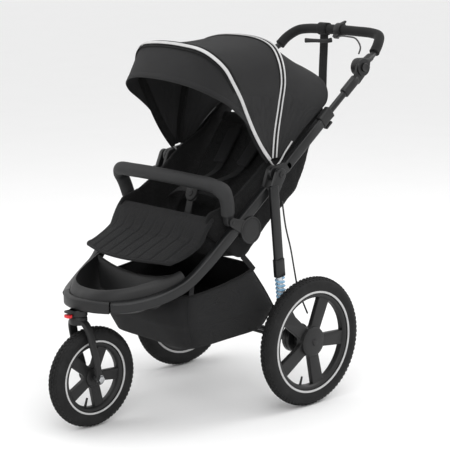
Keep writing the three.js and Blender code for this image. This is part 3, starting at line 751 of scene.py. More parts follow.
class STROLLER_OT_footplate(bpy.types.Operator):
    """Builds the moulded footplate with its deep well, rounded lip and nose band"""

    bl_idname = "stroller.footplate"
    bl_label = "Footplate"

    def execute(self, context):
        outer = [(204, -420, 449), (192, -458, 432), (177, -496, 417), (154, -536, 405), (127, -576, 398),
                 (90, -618, 395), (48, -644, 396), (0, -651, 397)]
        crest = [(184, -424, 470), (172, -470, 456), (153, -516, 446), (128, -560, 435), (90, -599, 427),
                 (45, -620, 422), (0, -624, 420)]
        lip = [(176, -426, 468), (164, -470, 453), (145, -514, 443), (121, -555, 432), (85, -592, 424),
               (43, -612, 419), (0, -616, 417)]
        wall = [(160, -440, 432), (152, -476, 404), (134, -512, 390), (110, -547, 382), (76, -578, 379),
                (38, -594, 380), (0, -598, 380)]
        floor = [(130, -468, 360), (130, -490, 353), (116, -514, 351), (94, -540, 351), (64, -564, 351),
                 (32, -576, 351), (0, -579, 351)]
        inner = [(70, -476, 356), (68, -494, 352), (60, -512, 350.6), (48, -528, 350.6), (32, -542, 350.6),
                 (16, -549, 350.6), (0, -551, 350.6)]
        spine = [(0, -478, 356), (0, -494, 352), (0, -508, 350.6), (0, -518, 350.6), (0, -526, 350.6),
                 (0, -532, 350.6), (0, -535, 350.6)]
        under = [(x, y, z - 26) for x, y, z in outer]
        belly = [(150, -458, 388), (138, -490, 354), (120, -520, 340), (98, -548, 338), (66, -574, 338),
                 (34, -592, 342), (0, -598, 345)]
        keel = [(0, y, z - 12) for _, y, z in spine]
        columns = [curve_through(c, 30) for c in (keel, belly, under, outer, crest, lip, wall, floor,
                                                  inner, spine)]
        rows = [[tuple(c[k]) for c in columns] for k in range(31)]
        rows += [[(-x, y, z) for x, y, z in row] for row in reversed(rows[:-1])]
        shell = loft("shell", rows, caps=False, smooth=180, closed=True)
        apply_modifier(shell, "SUBSURF", levels=1, render_levels=1)
        back = []
        for x in np.linspace(-182, 182, 29):
            rise = 434 + 30 * abs(x / 182) ** 2.2
            back.append([(x * 0.66, -480, 356), (x * 0.74, -470, 368), (x * 0.88, -456, rise - 24),
                         (x, -447, rise - 2), (x, -442, rise), (x, -437, rise - 2),
                         (x * 0.96, -443, rise - 24),
                         (x * 0.82, -458, 360), (x * 0.7, -472, 346)])
        wall_back = loft("wall_back", back, smooth=180)
        apply_modifier(wall_back, "SUBSURF", levels=1, render_levels=1)
        band = [(99, -618, 376), (62, -645, 377), (0, -660, 378)]
        nose = sweep("nose", curve_through(mirrored(band), 40), rounded(21, 35, 7, 6), side=(0, 1, 0),
                     ease=1.2)
        groove = []
        for k in range(6):
            x = -50 + 20 * k
            groove.append(sweep("rib", [(x, -552 + abs(x) * 0.4, 351), (x, -525, 351), (x, -500, 352)],
                                rounded(6, 3, 1.4), ease=1.2))
        plate_piece = joined("footplate_shell", [shell, wall_back, nose, *groove])
        dress(plate_piece, "front_frame", "moulded_black", "footplate")
        return {"FINISHED"}


class STROLLER_OT_fork(bpy.types.Operator):
    """Builds the swivel, its red lock and the curved front fork"""

    bl_idname = "stroller.fork"
    bl_label = "Swivel and fork"

    def execute(self, context):
        y = SWIVEL_Y
        housing = [(341, 0), (341, 24), (343, 27), (358, 27), (361, 24), (361, 0)]
        clip = plate("clip", [rounded(30, 44, 6)], 354.6, 361, 2, facing="top")
        reshape(clip, lambda co: co + np.array((0, y - 20, 0)))
        dress(joined("swivel_post", [post("post", housing, 0, y), clip]), "front_frame", "moulded_black",
              "swivel_housing")
        keep_node("swivel_lock", "lock_red")
        crown = post("crown", [(316, 0), (316, 20), (318, 25), (322, 26.4), (336, 26.4), (340, 24),
                               (340, 0)], 0, y)
        parts = [crown]
        for side in (1, -1):
            leg = [(6, y, 326), (24, y + 1, 325), (37, -648, 306), (41.5, -632, 240), (38, -616, 180),
                   (36, -610, 136)]
            taper = lambda t: (1.06 - 0.16 * t, 1.05 - 0.1 * t)
            parts.append(sweep("leg", flipped(curve_through(leg, 40), side), rounded(26, 12, 5.2, 5),
                               side=(0, 1, 0), ease=2, scale=taper))
            eye = [(31, 0), (31, 15), (33, 17), (39, 17), (41, 15), (41, 0)]
            parts.append(lathe("eye", eye, FRONT_AXLE_Y, FRONT_RADIUS, side=side, segments=36))
        dress(joined("fork", parts), "front_fork", "cable_jacket", "front_fork", look="moulded_black")
        bits = [lathe("axle", [(-46, 0), (-46, 5.6), (46, 5.6), (46, 0)], FRONT_AXLE_Y, FRONT_RADIUS,
                      segments=24)]
        for side in (1, -1):
            nut = plate("nut", [circle(10.6, 6, (FRONT_AXLE_Y, FRONT_RADIUS))], 42.4, 49, 0.8, side=side)
            washer = lathe("washer", [(41.2, 0), (41.2, 12.4), (42.6, 12.4), (42.6, 0)], FRONT_AXLE_Y,
                           FRONT_RADIUS, side=side, segments=32)
            bits += [nut, washer]
        dress(joined("front_axle_bolt", bits), "front_fork", "axle_steel", "front_axle")
        return {"FINISHED"}


# ---- wheels ----
def tread(x, y, radius, half, depth, count):
    """Staggered blocks round the tyre's crown and shoulders."""
    points, faces = [], []
    rows = ((-0.70, 5.2, 0.24), (-0.36, 1.4, 0.26), (0.0, 0.0, 0.26), (0.36, 1.4, 0.26), (0.70, 5.2, 0.24))
    for k in range(count):
        for row, (share, drop, wide) in enumerate(rows):
            middle = 2 * math.pi * (k + 0.5 * (row % 2)) / count
            span = 2 * math.pi / count * 0.34
            slant = 0.18 * span * (1 if row < 2 else -1 if row > 2 else 0)
            base = len(points)
            for level, grow in ((radius - drop - depth - 1.2, 1.0), (radius - drop, 0.82)):
                for dx, turn in ((-1, -1), (1, -1), (1, 1), (-1, 1)):
                    angle = middle + turn * span * grow + dx * slant
                    r = level - (1.8 * abs(share) if dx * share > 0 else 0)
                    px = x + half * (share + dx * wide * 0.5 * grow)
                    points.append((px, y + r * math.cos(angle), radius + r * math.sin(angle)))
            faces += [tuple(base + i for i in f) for f in
                      ((0, 1, 2, 3), (4, 5, 6, 7), (0, 1, 5, 4), (1, 2, 6, 5), (2, 3, 7, 6), (3, 0, 4, 7))]
    return new_mesh("tread", points, faces, 30)


def window(spoke, centre, inner_round, reach, half_spoke):
    """The opening between two spokes, with a round inner end."""
    y, z = centre
    first, last = spoke, spoke + 2 * math.pi / 5
    middle = (first + last) / 2
    lean = math.asin(half_spoke / reach) + 0.02
    outline = []
    for turn in np.linspace(first + lean, last - lean, 16):
        outline.append((y + reach * math.cos(turn), z + reach * math.sin(turn)))
    away = (half_spoke + inner_round) / math.sin(math.pi / 5)
    hy, hz = y + away * math.cos(middle), z + away * math.sin(middle)
    for turn in np.linspace(middle + 0.7 * math.pi, middle + 1.3 * math.pi, 12):
        outline.append((hy + inner_round * math.cos(turn), hz + inner_round * math.sin(turn)))
    return outline


def build_wheel(context, name, body, x, y, radius, half, ring, spoke, nodes, blocks):
    """A tyre with tread and a light ring, and a five-spoked rim with a valve."""
    depth = context.scene.stroller_sizes.tread_depth / MM
    crown = radius - depth
    inner = ring[0] - 1.5
    profile = [(-0.55, inner), (-0.70, inner + 2), (-0.80, ring[0]), (-0.84, ring[1]), (-0.93, ring[1] + 8),
               (-1.0, crown - 22), (-0.97, crown - 13), (-0.84, crown - 7.4), (-0.55, crown - 2.6),
               (-0.25, crown - 0.4)]
    profile = profile + [(0, crown)] + [(-a, r) for a, r in reversed(profile)]
    skin = lathe("skin", [(x + half * a, r) for a, r in profile], y, radius, segments=128, loop=True,
                 smooth=60)
    dress(joined(f"{name}_tyre", [skin, tread(x, y, radius, half, depth, blocks)]), body, "tyre_rubber",
          nodes[0])
    rings = []
    for side in (1, -1):
        low, high = half * 0.79, half * 0.88
        face = [(low, ring[0] + 0.4), (high, ring[0] + 1.2), (high + 0.5, (ring[0] + ring[1]) / 2),
                (high, ring[1] - 1.2), (low, ring[1] - 0.4)]
        rings.append(lathe("ring", [(x + side * a, r) for a, r in face], y, radius, segments=128,
                           loop=True))
    dress(joined(f"{name}_ring", rings), body, "piping_reflective")
    edge = inner - 0.4
    reach = edge - 11
    barrel = [(-0.70, edge), (-0.70, edge - 5), (-0.62, edge - 8), (-0.40, reach - 1), (0.40, reach - 1),
              (0.62, edge - 8), (0.70, edge - 5), (0.70, edge)]
    parts = [lathe("barrel", [(x + half * a, r) for a, r in barrel], y, radius, segments=128, loop=True)]
    holes = [window(math.radians(-5) + 2 * math.pi * k / 5, (y, radius), *spoke[:1], reach, spoke[1])
             for k in range(5)]
    parts.append(plate("spokes", [circle(edge - 4, 96, (y, radius)), *holes], x - half * 0.40,
                       x + half * 0.40,
                       2.6, smooth=30))
    hub = spoke[2]
    for side in (1, -1):
        boss = [(0, 0), (half * 0.3, hub), (half * 0.62, hub - 2), (half * 0.68, hub - 5), (half * 0.68, 0)]
        parts.append(lathe("boss", [(x + side * a, r) for a, r in boss], y, radius, segments=64))
    turn = math.radians(-107)
    stem = [(x, y + r * math.cos(turn), radius + r * math.sin(turn)) for r in (reach, reach - 12,
            reach - 27)]
    parts.append(sweep("valve", stem, circle(3.2, 14), ease=1, scale=lambda t: (1.25 - 0.3 * t,) * 2))
    dress(joined(f"{name}_wheel", parts), body, "moulded_black", nodes[1])


class STROLLER_OT_wheels(bpy.types.Operator):
    """Builds the three tyres, their light rings and the five-spoked rims"""

    bl_idname = "stroller.wheels"
    bl_label = "Wheels"

    def execute(self, context):
        for word, side in SIDES:
            build_wheel(context, f"rear_{word}", f"rear_wheel_{word}", side * REAR_TRACK, 0, REAR_RADIUS,
                        21.5,
                        (150.5, 158.5), (15, 20, 45), (f"rear_tyre_{word}", f"rear_rim_{word}"), 84)
            face = REAR_TRACK + 14.7
            dome = [(face, 0), (face, 45), (face + 2, 45.6), (face + 4.5, 43), (face + 6, 34),
                    (face + 7.5, 20),
                    (face + 8, 11), (face + 10.6, 9.6), (face + 11.2, 6), (face + 11.2, 0)]
            dress(lathe(f"hub_cap_{word}", dome, 0, REAR_RADIUS, side=side), f"rear_wheel_{word}",
                  "moulded_black", f"rear_hub_cap_{word}")
        build_wheel(context, "front", "front_wheel", 0, FRONT_AXLE_Y, FRONT_RADIUS, 22, (104.5, 111.5),
                    (11, 15, 30), ("front_tyre", "front_rim"), 66)
        return {"FINISHED"}


class STROLLER_OT_rear(bpy.types.Operator):
    """Builds the sprung rear legs, the axle with its drums, the brake pedal and the lower cable"""

    bl_idname = "stroller.rear"
    bl_label = "Rear legs and axle"

    def execute(self, context):
        for word, side in SIDES:
            eye = plate("eye", [link(*PIN, 19, LEG_TOP[1] + 4, LEG_TOP[2] - 30, 15)], 254, 268, 2,
                        side=side)
            leg = sweep("leg", flipped([down_leg(d) for d in (10, 60, 140, 200, 240)], side),
                        rounded(16, 33, 6), ease=1)
            sleeve = sweep("sleeve", flipped([down_leg(d) for d in (236, 246, 262, 278, 292)], side),
                           rounded(22, 37, 8), ease=2)
            dress(joined(f"leg_{word}", [eye, leg, sleeve]), "rear_legs", "frame_black", f"rear_leg_{word}")
            steps = 5 * 20
            coil = []
            for k in range(steps + 1):
                turn = 2 * math.pi * k / 20
                middle = np.array(down_leg(295 + 64 * k / steps))
                coil.append(middle + np.array((13, 0, 0)) * math.cos(turn) + np.array((0, 12.9,
                        1.6)) * math.sin(turn))
            spring = sweep(f"coil_{word}", flipped(coil, side), circle(2.9, 10), ease=1)
            dress(spring, "rear_legs", "spring_paint", f"suspension_spring_{word}")
            tuple(at(flipped([down_leg(292)], side)[0]))
            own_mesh(spring)
            damper = sweep(f"damper_{word}", flipped([down_leg(d) for d in (262, 300, 340, 364)], side),
                           circle(9.6, 24), ease=1)
            dress(damper, "rear_axle_unit", "spring_paint", look="damper_white")
            seat = sweep("seat", flipped([down_leg(d) for d in (362, 368, 376, 384)], side),
                         circle(15.5, 28),
                         ease=3)
            hub = (259, -8, 212)
            strut = sweep("strut",
                          flipped([down_leg(370), tuple((np.array(down_leg(370)) + hub) / 2), hub], side),
                          rounded(14, 31, 5), ease=1)
            knuckle = [(251, 0), (251, 24), (253, 26), (265, 26), (267, 24), (267, 0)]
            dress(joined(f"leg_foot_{word}",
                         [seat, strut, lathe("knuckle", knuckle, 0, REAR_RADIUS, side=side)]),
                  "rear_axle_unit", "moulded_black", f"lower_leg_{word}")
        parts = [lathe("shaft",
                       [(-308, 0), (-308, 7.6), (-270, 7.6), (-270, 9), (270, 9), (270, 7.6), (308, 7.6),
                                 (308, 0)], 0, REAR_RADIUS, segments=32)]
        drum = [(212, 0), (212, 30), (214, 38), (216, 40), (217, 44), (220, 46), (232, 46), (233, 44.6),
                (235, 44.6),
                (236, 46), (247, 46), (248, 44), (248, 0)]
        for _, side in SIDES:
            parts.append(lathe("drum", drum, 0, REAR_RADIUS, side=side))
        dress(joined("axle_and_drums", parts), "rear_axle_unit", "frame_black", "rear_axle")
        bar = tube("bar", [(x, *PEDAL) for x in (-196, 0, 196)], 6, 8, side=(0, 1, 0))
        pad = plate("pad", [[(x, y + 42) for x, y in rounded(84, 34, 9)]], 170, 181, 2.4, facing="top")
        grips = [sweep("grip", [(-34, 42 + dy, 181), (0, 42 + dy, 181), (34, 42 + dy, 181)],
                       rounded(3, 2.2, 1),
                       side=(0, 1, 0), ease=0.8) for dy in (-10, -4, 2, 8)]
        dress(joined("pedal", [bar, pad, *grips]), "brake_pedal", "moulded_black", "brake_pedal")
        route = [(262, -92, 640), (262, -76, 560), (262, -54, 490), (263, -38, 420), (263, -22, 360),
                 (262, 4, 310), (262, 22, 276)]
        dress(tube("lower_cable", route, 2.6, 60, 12), "rear_legs", "cable_jacket", "brake_cable_lower")
        return {"FINISHED"}


# ---- handlebar ----
GRIP = [(209, 364, 1047), (201, 390, 1072), (179, 419, 1094), (140, 429, 1101), (70, 431, 1103),
        (0, 431, 1104)]


class STROLLER_OT_handlebar(bpy.types.Operator):
    """Builds the foam-covered handlebar, its tilt knuckles, brake lever, cable and wrist strap"""

    bl_idname = "stroller.handlebar"
    bl_label = "Handlebar"

    def execute(self, context):
        dress(tube("handle_tube_cover", mirrored([(216, 336, 1032), *GRIP]), 9.5, 100),
              "handlebar", "frame_black", "handle_tube")
        lip = lambda t: (1 + 0.05 * math.exp(-(min(t, 1 - t) / 0.012) ** 2),) * 2
        foam = sweep("grip", curve_through(mirrored(GRIP), 160), circle(16, 32), ease=2.5, scale=lip)
        dress(foam, "handlebar", "grip_foam", "foam_grip")
        for word, side in SIDES:
            body = plate("body", [link(*KNUCKLE, 27, 306, 1020, 16)], 211, 233.4, 4, side=side)
            sleeve = sweep("sleeve", flipped([(219, 300, 1020), (217, 318, 1026), (213, 342, 1036)], side),
                           circle(13, 24), ease=2)
            dress(joined(f"knuckle_{word}", [body, sleeve]), "handlebar", "moulded_black",
                  f"upper_knuckle_{word}")
        clamp = lathe("clamp", [(-11, 17.2), (-11, 21), (-9, 22.4), (11, 22.4), (13, 21), (13, 17.2)],
                      *BAR, loop=True)
        lug = sweep("lug", [(1, BAR[0] - 13, BAR[1] - 13), (1, BAR[0] - 18, BAR[1] - 19),
                            (1, BAR[0] - 22, BAR[1] - 25)],
                    rounded(22, 14, 3), ease=2)
        wing = plate("wing", [link(0, 0, 8, 16, 10, 3)], -4, 4, 1)
        reshape(wing, lambda co: co + np.array((4, BAR[0] + 4, BAR[1] + 16)))
        dress(joined("lever_clamp", [clamp, lug, wing]), "handlebar", "moulded_black", "lever_bracket")
        lever = [(-11, BAR[0] - 26, BAR[1] - 32), (-30, BAR[0] - 30, BAR[1] - 36),
                 (-80, BAR[0] - 31, BAR[1] - 38),
                 (-126, BAR[0] - 31, BAR[1] - 40)]
        swell = lambda t: (1 + 0.25 * t ** 6, 1.05 - 0.25 * math.sin(math.pi * t))
        dress(sweep("lever", curve_through(lever, 40), rounded(8, 15, 3), side=(0, 1, 0), ease=2,
                    scale=swell),
              "brake_lever", "moulded_black", "brake_lever")
        route = [(14, 407, 1082), (60, 372, 1090), (122, 336, 1094), (168, 324, 1090), (196, 314, 1066),
                 (200, 302, 1046)]
        dress(tube("upper_cable", route, 2.6, 60, 12), "handlebar", "cable_jacket", "brake_cable_upper")
        web = [(-70, BAR[0], BAR[1] - 17.6), (-70, BAR[0] - 1, BAR[1] - 60),
               (-70, BAR[0] - 4, BAR[1] - 130),
               (-70, BAR[0] - 5, BAR[1] - 200)]
        strap = sweep("strap", curve_through(web, 30), rounded(36, 2.4, 1), ease=0.8)
        band = [(-89, 17.6), (-89, 20), (-88, 20.6), (-52, 20.6), (-51, 20), (-51, 17.6)]
        ring = lathe("ring", band, *BAR, loop=True)
        dress(joined("wrist_loop", [strap, ring]), "handlebar", "strap_webbing", "wrist_strap")
        return {"FINISHED"}


class STROLLER_OT_bumper(bpy.types.Operator):
    """Builds the bumper bar with its padded leatherette cover and hard arms"""

    bl_idname = "stroller.bumper"
    bl_label = "Bumper bar"

    def execute(self, context):
        x, y, z = BUMPER
        path = mirrored([(x, y - 3, z + 22), (x + 7, y - 12, z + 58), (x + 8, y - 28, z + 92),
                         (x - 14, y - 45, z + 109),
                         (x - 90, y - 55, z + 115), (0, y - 61, z + 118)])
        stations = curve_through(path, 200)
        seam = 0.162

        def shape(t):
            end = min(t, 1 - t)
            arm = 0.90 + 0.2 * min(1, max(0, (end - seam * 0.55) / (seam * 0.45)))
            crease = 0.055 * math.exp(-((end - seam) / 0.0035) ** 2)
            broad = 1 + 0.32 * min(1, max(0, (seam - end) / 0.04))
            return (arm - crease, (arm - crease) * broad)

        cover = sweep("cover", stations, circle(19, 40), ease=3, scale=shape)
        parts = [cover]
        for side in (1, -1):
            outline = link(y, z, 13, y - 4, z + 34, 15)
            parts.append(plate("eye", [outline, circle(5.4, 24, (y, z))], x - 10, x + 10, 3, side=side))
        dress(joined("bumper_cover", parts), "bumper_bar", "bumper_leatherette", "bumper_bar")
        return {"FINISHED"}


# ---- canopy ----
MID_BOW = [(208, -79, 742), (209, -72, 832), (209, -56, 916), (206, -42, 984), (188, -36, 1040),
           (150, -27, 1078),
           (90, -22, 1098), (0, -20, 1104)]
FRONT_BOW = [(212, -84, 742), (212, -126, 790), (212.5, -158, 836), (213, -188, 890), (212, -214, 942),
             (206, -236, 984), (190, -256, 1030), (160, -277, 1064), (126, -292, 1083), (66, -305, 1093),
             (0, -309, 1096)]
REAR_EDGE = [(208, -58, 742), (209, -20, 780), (210, 30, 826), (210, 94, 874), (204, 148, 912),
             (168, 174, 960),
             (110, 148, 1002), (0, 116, 1036)]
VISOR_HEM = [(213, -108, 764), (214, -143, 806), (216, -171, 848), (217, -196, 878), (214, -250, 922),
             (200, -286, 946), (172, -318, 968), (131, -343, 985), (70, -366, 998), (0, -374, 1002)]


def on_hood(point, grow=0.0):
    """A hoop point moved out to the cloth's surface, and a little further by grow."""
    x, y, z = point
    dy, dz = y - CANOPY_PIVOT[0], z - CANOPY_PIVOT[1]
    lift = CLOTH_LIFT + grow / max(math.hypot(dy, dz, x), 60)
    return (float(np.clip(x * 1.03, -CLOTH_HALF - grow, CLOTH_HALF + grow)), CANOPY_PIVOT[0] + dy * lift,
            CANOPY_PIVOT[1] + dz * lift)


def hood_rows(first, last, count, sag, trim=0.02, across=84, folds=0.0):
    """Rows of cloth from one hoop line to the next, dipping between them and gathering at the pivots."""
    a = curve_through(mirrored(first), 400)
    b = curve_through(mirrored(last), 400)
    rows = []
    for share in np.linspace(0, 1, count):
        row = []
        for t in np.linspace(trim, 1 - trim, across):
            k = t * 400
            low = int(min(399, math.floor(k)))
            pa = a[low] + (a[low + 1] - a[low]) * (k - low)
            pb = b[low] + (b[low + 1] - b[low]) * (k - low)
            p = np.array(on_hood(pa + (pb - pa) * share))
            side = max(0.0, 1 - math.sin(math.pi * t) * 1.25)
            dip = sag * math.sin(math.pi * share) * math.sin(math.pi * t) ** 0.6
            ripple = folds * side * math.sin(share * 5 * math.pi) * math.sin(math.pi * share)
            p[2] -= dip
            p[0] -= math.copysign(1.0, p[0]) * abs(ripple)
            row.append(tuple(p))
        rows.append(row)
    return rows


def hoop_strip(name, points, width, thick, trim, grow, shift=0.0):
    """A flat band lying on the hood along a hoop line."""
    line = [on_hood(p, grow) for p in curve_through(mirrored(points), 160)]
    line = line[int(trim * 160): 161 - int(trim * 160)]
    line = [(x, y + shift, z) for x, y, z in line]
    return sweep(name, line, rounded(width, thick, thick * 0.45, 3), side=(0, 1, 0), ease=thick * 0.4)


class STROLLER_OT_canopy(bpy.types.Operator):
    """Builds the hood as curved sheets over its hoops, with reflective piping and a stitched visor hem"""

    bl_idname = "stroller.canopy"
    bl_label = "Canopy"

    def execute(self, context):
        sizes = context.scene.stroller_sizes
        sag = sizes.canopy_sag / MM
        wide = sizes.piping_width / MM
        front = hood_rows(MID_BOW, FRONT_BOW, 15, sag, folds=5)
        visor = hood_rows(FRONT_BOW, VISOR_HEM, 10, -2.0, trim=0.02)
        rows = front + visor[1:]
        hood = cloth_sheet("hood_front", rows)
        dress(hood, None, "canopy_cloth", "canopy_front_panel", "canopy_visor")
        at((0, -45, 1090))
        at((0, -290, 1075))
        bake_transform(hood)
        edge = [np.array(p) for p in rows[-1]]
        band = []
        for k, share in enumerate((0.0, 0.5, 1.0)):
            line = []
            for p, q in zip(rows[-1], rows[-4]):
                p, q = np.array(p), np.array(q)
                inward = (q - p) / max(np.linalg.norm(q - p), 1e-6)
                away = np.array((p[0] * 0.4, 0, p[2] - 700))
                away = away / np.linalg.norm(away)
                line.append(tuple(p + inward * 14 * share + away * (1.3 if k != 1 else 2.1)))
            band.append(line)
        hem = cloth_sheet("visor_hem", band, 1.6)
        dress(hem, "canopy_front", "canopy_cloth")
        binding = sweep("visor_edge", [tuple(p) for p in edge], circle(2.0, 10), ease=0.8)
        dress(binding, "canopy_front", "canopy_cloth")
        rear_rows = hood_rows(REAR_EDGE, MID_BOW, 14, sag * 0.8, folds=6)
        rear = cloth_sheet("hood_rear", rear_rows)
        dress(rear, None, "canopy_cloth", "canopy_rear_panel")
        at((0, 130, 900))
        at((0, -25, 960))
        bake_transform(rear)
        dress(hoop_strip("piping_front", FRONT_BOW, wide, 3.2, 0.02, 2.2), "canopy_front",
              "piping_reflective",
              "canopy_bow_front")
        for word, shift in (("fore", -wide * 0.66), ("aft", wide * 0.66)):
            nodes = ["canopy_bow_mid"] if word == "fore" else []
            dress(hoop_strip(f"piping_mid_{word}", MID_BOW, wide * 0.56, 3.0, 0.02, 2.2, shift),
                  "canopy_mid",
                  "piping_reflective", *nodes)
        dress(hoop_strip("hood_seam", MID_BOW, wide * 0.9, 2.2, 0.02, 1.4), "canopy_mid", "canopy_cloth",
              look="seat_cloth")
        for word, bow, body in (("front", FRONT_BOW, "canopy_front"), ("mid", MID_BOW, "canopy_mid")):
            lining = hoop_strip(f"sleeve_{word}", bow, 30, 2.4, 0.02, -2.6)
            dress(lining, body, "canopy_cloth", look="seat_cloth")
            inner = [(x * 0.985, y, z - 6) for x, y, z in curve_through(mirrored(bow), 120)]
            dress(sweep(f"hoop_{word}", inner[3:-3], rounded(3.2, 11, 1.4), side=(1, 0, 0), ease=1), body,
                  "seat_cloth")
        for word, side in SIDES:
            low = [(CLOTH_HALF + 1.6, -112, 778), (CLOTH_HALF + 1.6, -96, 752),
                   (CLOTH_HALF + 1.6, -80, 738),
                   (CLOTH_HALF + 1.6, -62, 746), (CLOTH_HALF + 1.2, -36, 776), (CLOTH_HALF + 0.6, -6, 806)]
            edge_line = tube(f"piping_low_{word}", flipped(low, side), 2.6, 50, 12)
            dress(edge_line, "front_frame", "piping_reflective")
        return {"FINISHED"}


# ---- seat ----
def creased(piece, depth, scale, seed):
    """Soft wrinkles pressed into a mesh, steady from run to run."""
    from_noise = bpy.data.textures.new(piece.name + "_wrinkles", "CLOUDS")
    from_noise.noise_scale = scale * MM
    from_noise.noise_depth = 2
    shift = bpy.data.objects.new(piece.name + "_shift", None)
    shift.location = (seed * 0.37, seed * 0.19, 0)
    bpy.context.scene.collection.objects.link(shift)
    apply_modifier(piece, "DISPLACE", texture=from_noise, strength=depth * MM, mid_level=0.5,
                   texture_coords="OBJECT", texture_coords_object=shift)
    bpy.data.objects.remove(shift)
    return piece


class STROLLER_OT_seat(bpy.types.Operator):
    """Builds the padded seat, backrest and cloth sides, swollen by cloth simulation"""

    bl_idname = "stroller.seat"
    bl_label = "Seat"

    def execute(self, context):
        cap = context.scene.stroller_sizes.cushion_swell / MM
        base = plate("seat_pad",
                     [[(-334, 596), (-182, 558), (-172, 504), (-198, 474), (-252, 480), (-326, 548),
                                   (-340, 578)]], -178, 178, 6)
        stuffed(base, 7, cap)

        def seat_seams(co):
            x, y, z = co.T
            top = np.clip((z - 520 + (y + 250) * 0.2) / 40, 0, 1)
            channel = sum(np.exp(-((y - line) / 4.5) ** 2) for line in (-300, -250, -205))
            welt = np.exp(-((np.abs(x) - 158) / 4) ** 2)
            dish = 5 * np.cos(np.clip(x / 186, -1, 1) * math.pi / 2)
            return np.stack([x, y, z - top * (3.2 * channel + 2.6 * welt + dish * 0.6)], 1)

        reshape(base, seat_seams)
        creased(base, 7.0, 60, 1)
        dress(base, "front_frame", "seat_cloth", "seat_base")
        back = plate("back_pad", [rounded(388, 34, 12)], -178, 178, 6)
        turn = np.array(((math.cos(BACK_LEAN), -math.sin(BACK_LEAN)),
                         (math.sin(BACK_LEAN), math.cos(BACK_LEAN))))

        def recline(co):
            flat = co[:, 1:] + np.array((224, 0))
            placed = flat @ turn.T + np.array(BACK_FOOT)
            return np.column_stack([co[:, 0], placed])

        stuffed(reshape(back, recline), 7, cap)

        def back_seams(co):
            x, y, z = co.T
            dy, dz = y - BACK_FOOT[0], z - BACK_FOOT[1]
            along = dy * math.cos(BACK_LEAN) + dz * math.sin(BACK_LEAN)
            off = dz * math.cos(BACK_LEAN) - dy * math.sin(BACK_LEAN)
            front = np.clip(off / 12, 0, 1)
            channel = sum(np.exp(-((along - line) / 4.5) ** 2) for line in (110, 200, 290, 370))
            welt = np.exp(-((np.abs(x) - 150) / 4) ** 2)
            press = front * (3.4 * channel + 3.0 * welt + 5 * np.cos(np.clip(x / 186, -1, 1) * math.pi / 2))
            return np.stack([x, y + press * math.sin(BACK_LEAN), z - press * math.cos(BACK_LEAN)], 1)

        reshape(back, back_seams)
        creased(back, 11.0, 60, 2)
        dress(back, "backrest", "seat_cloth", "backrest")
        wing = [(-336, 562), (-270, 512), (-200, 472), (-150, 508), (-98, 552), (34, 660), (92, 780),
                (150, 894),
                (98, 884), (0, 806), (-60, 776), (-110, 746), (-170, 700), (-250, 650), (-336, 612)]
        edge_line = curve_through([(0, *p) for p in [*wing, wing[0]]], 90)[:-1]
        for word, side in SIDES:
            sheet = plate(f"seat_wall_{word}", [[(p[1], p[2]) for p in edge_line]], 188, 202, 4, side=side)
            stuffed(sheet, 5, 3, 1.5)
            creased(sheet, 8.0, 60, 3 + side)
            dress(sheet, "front_frame", "seat_cloth", f"seat_side_{word}")
        return {"FINISHED"}


class STROLLER_OT_calf_rest(bpy.types.Operator):
    """Builds the quilted tongue in front of the seat, with sewn channels and a bound edge"""

    bl_idname = "stroller.calf_rest"
    bl_label = "Calf rest"

    def execute(self, context):
        rows = []
        for k in range(29):
            t = k / 28
            row = []
            for x in np.linspace(-194, 194, 97):
                u = x / 194
                front = -512 + 44 * abs(u) ** 2.2
                y = -318 + (front + 318) * t
                fall = 608 - 50 * min(1, t / 0.3) ** 1.6 - 64 * max(0, (t - 0.25) / 0.75) ** 1.15
                z = fall + 9 * abs(u) ** 2 * t - 7 * (1 - u * u) * math.sin(math.pi * t)
                z -= 18 * math.sin(math.pi * min(1, 1.05 * t)) ** 0.8 * abs(u) ** 5 + 8 * t * abs(u) ** 4
                row.append((x * (1.085 - 0.09 * t), y, z))
            rows.append(row)
        pad = cloth_sheet("calf_pad", rows, 11, subdivide=0)
        apply_modifier(pad, "SUBSURF", levels=1, render_levels=1)
        lines = [-168 + 42 * k for k in range(9)]

        def quilt(co):
            x, y, z = co.T
            fade = np.clip((-352 - y) / 20, 0, 1)
            seam = sum(np.exp(-((x - line * 1.03) / 3.6) ** 2) for line in lines)
            cross = np.exp(-((y + 392 + 6 * np.cos(x / 60)) / 4) ** 2)
            return np.stack([x, y, z - fade * (2.7 * seam + 2.2 * cross)], 1)

        reshape(pad, quilt)
        creased(pad, 3.0, 55, 6)
        dress(pad, "front_frame", "quilted_cloth", "calf_rest")
        rim = [rows[k][0] for k in range(29)] + rows[-1][1:-1] + [rows[k][-1] for k in range(28, -1, -1)]
        bound = sweep("calf_binding", curve_through(rim[::3], 160), circle(4.6, 14), ease=2)
        dress(bound, "front_frame", "seat_cloth", look="quilted_cloth")
        return {"FINISHED"}


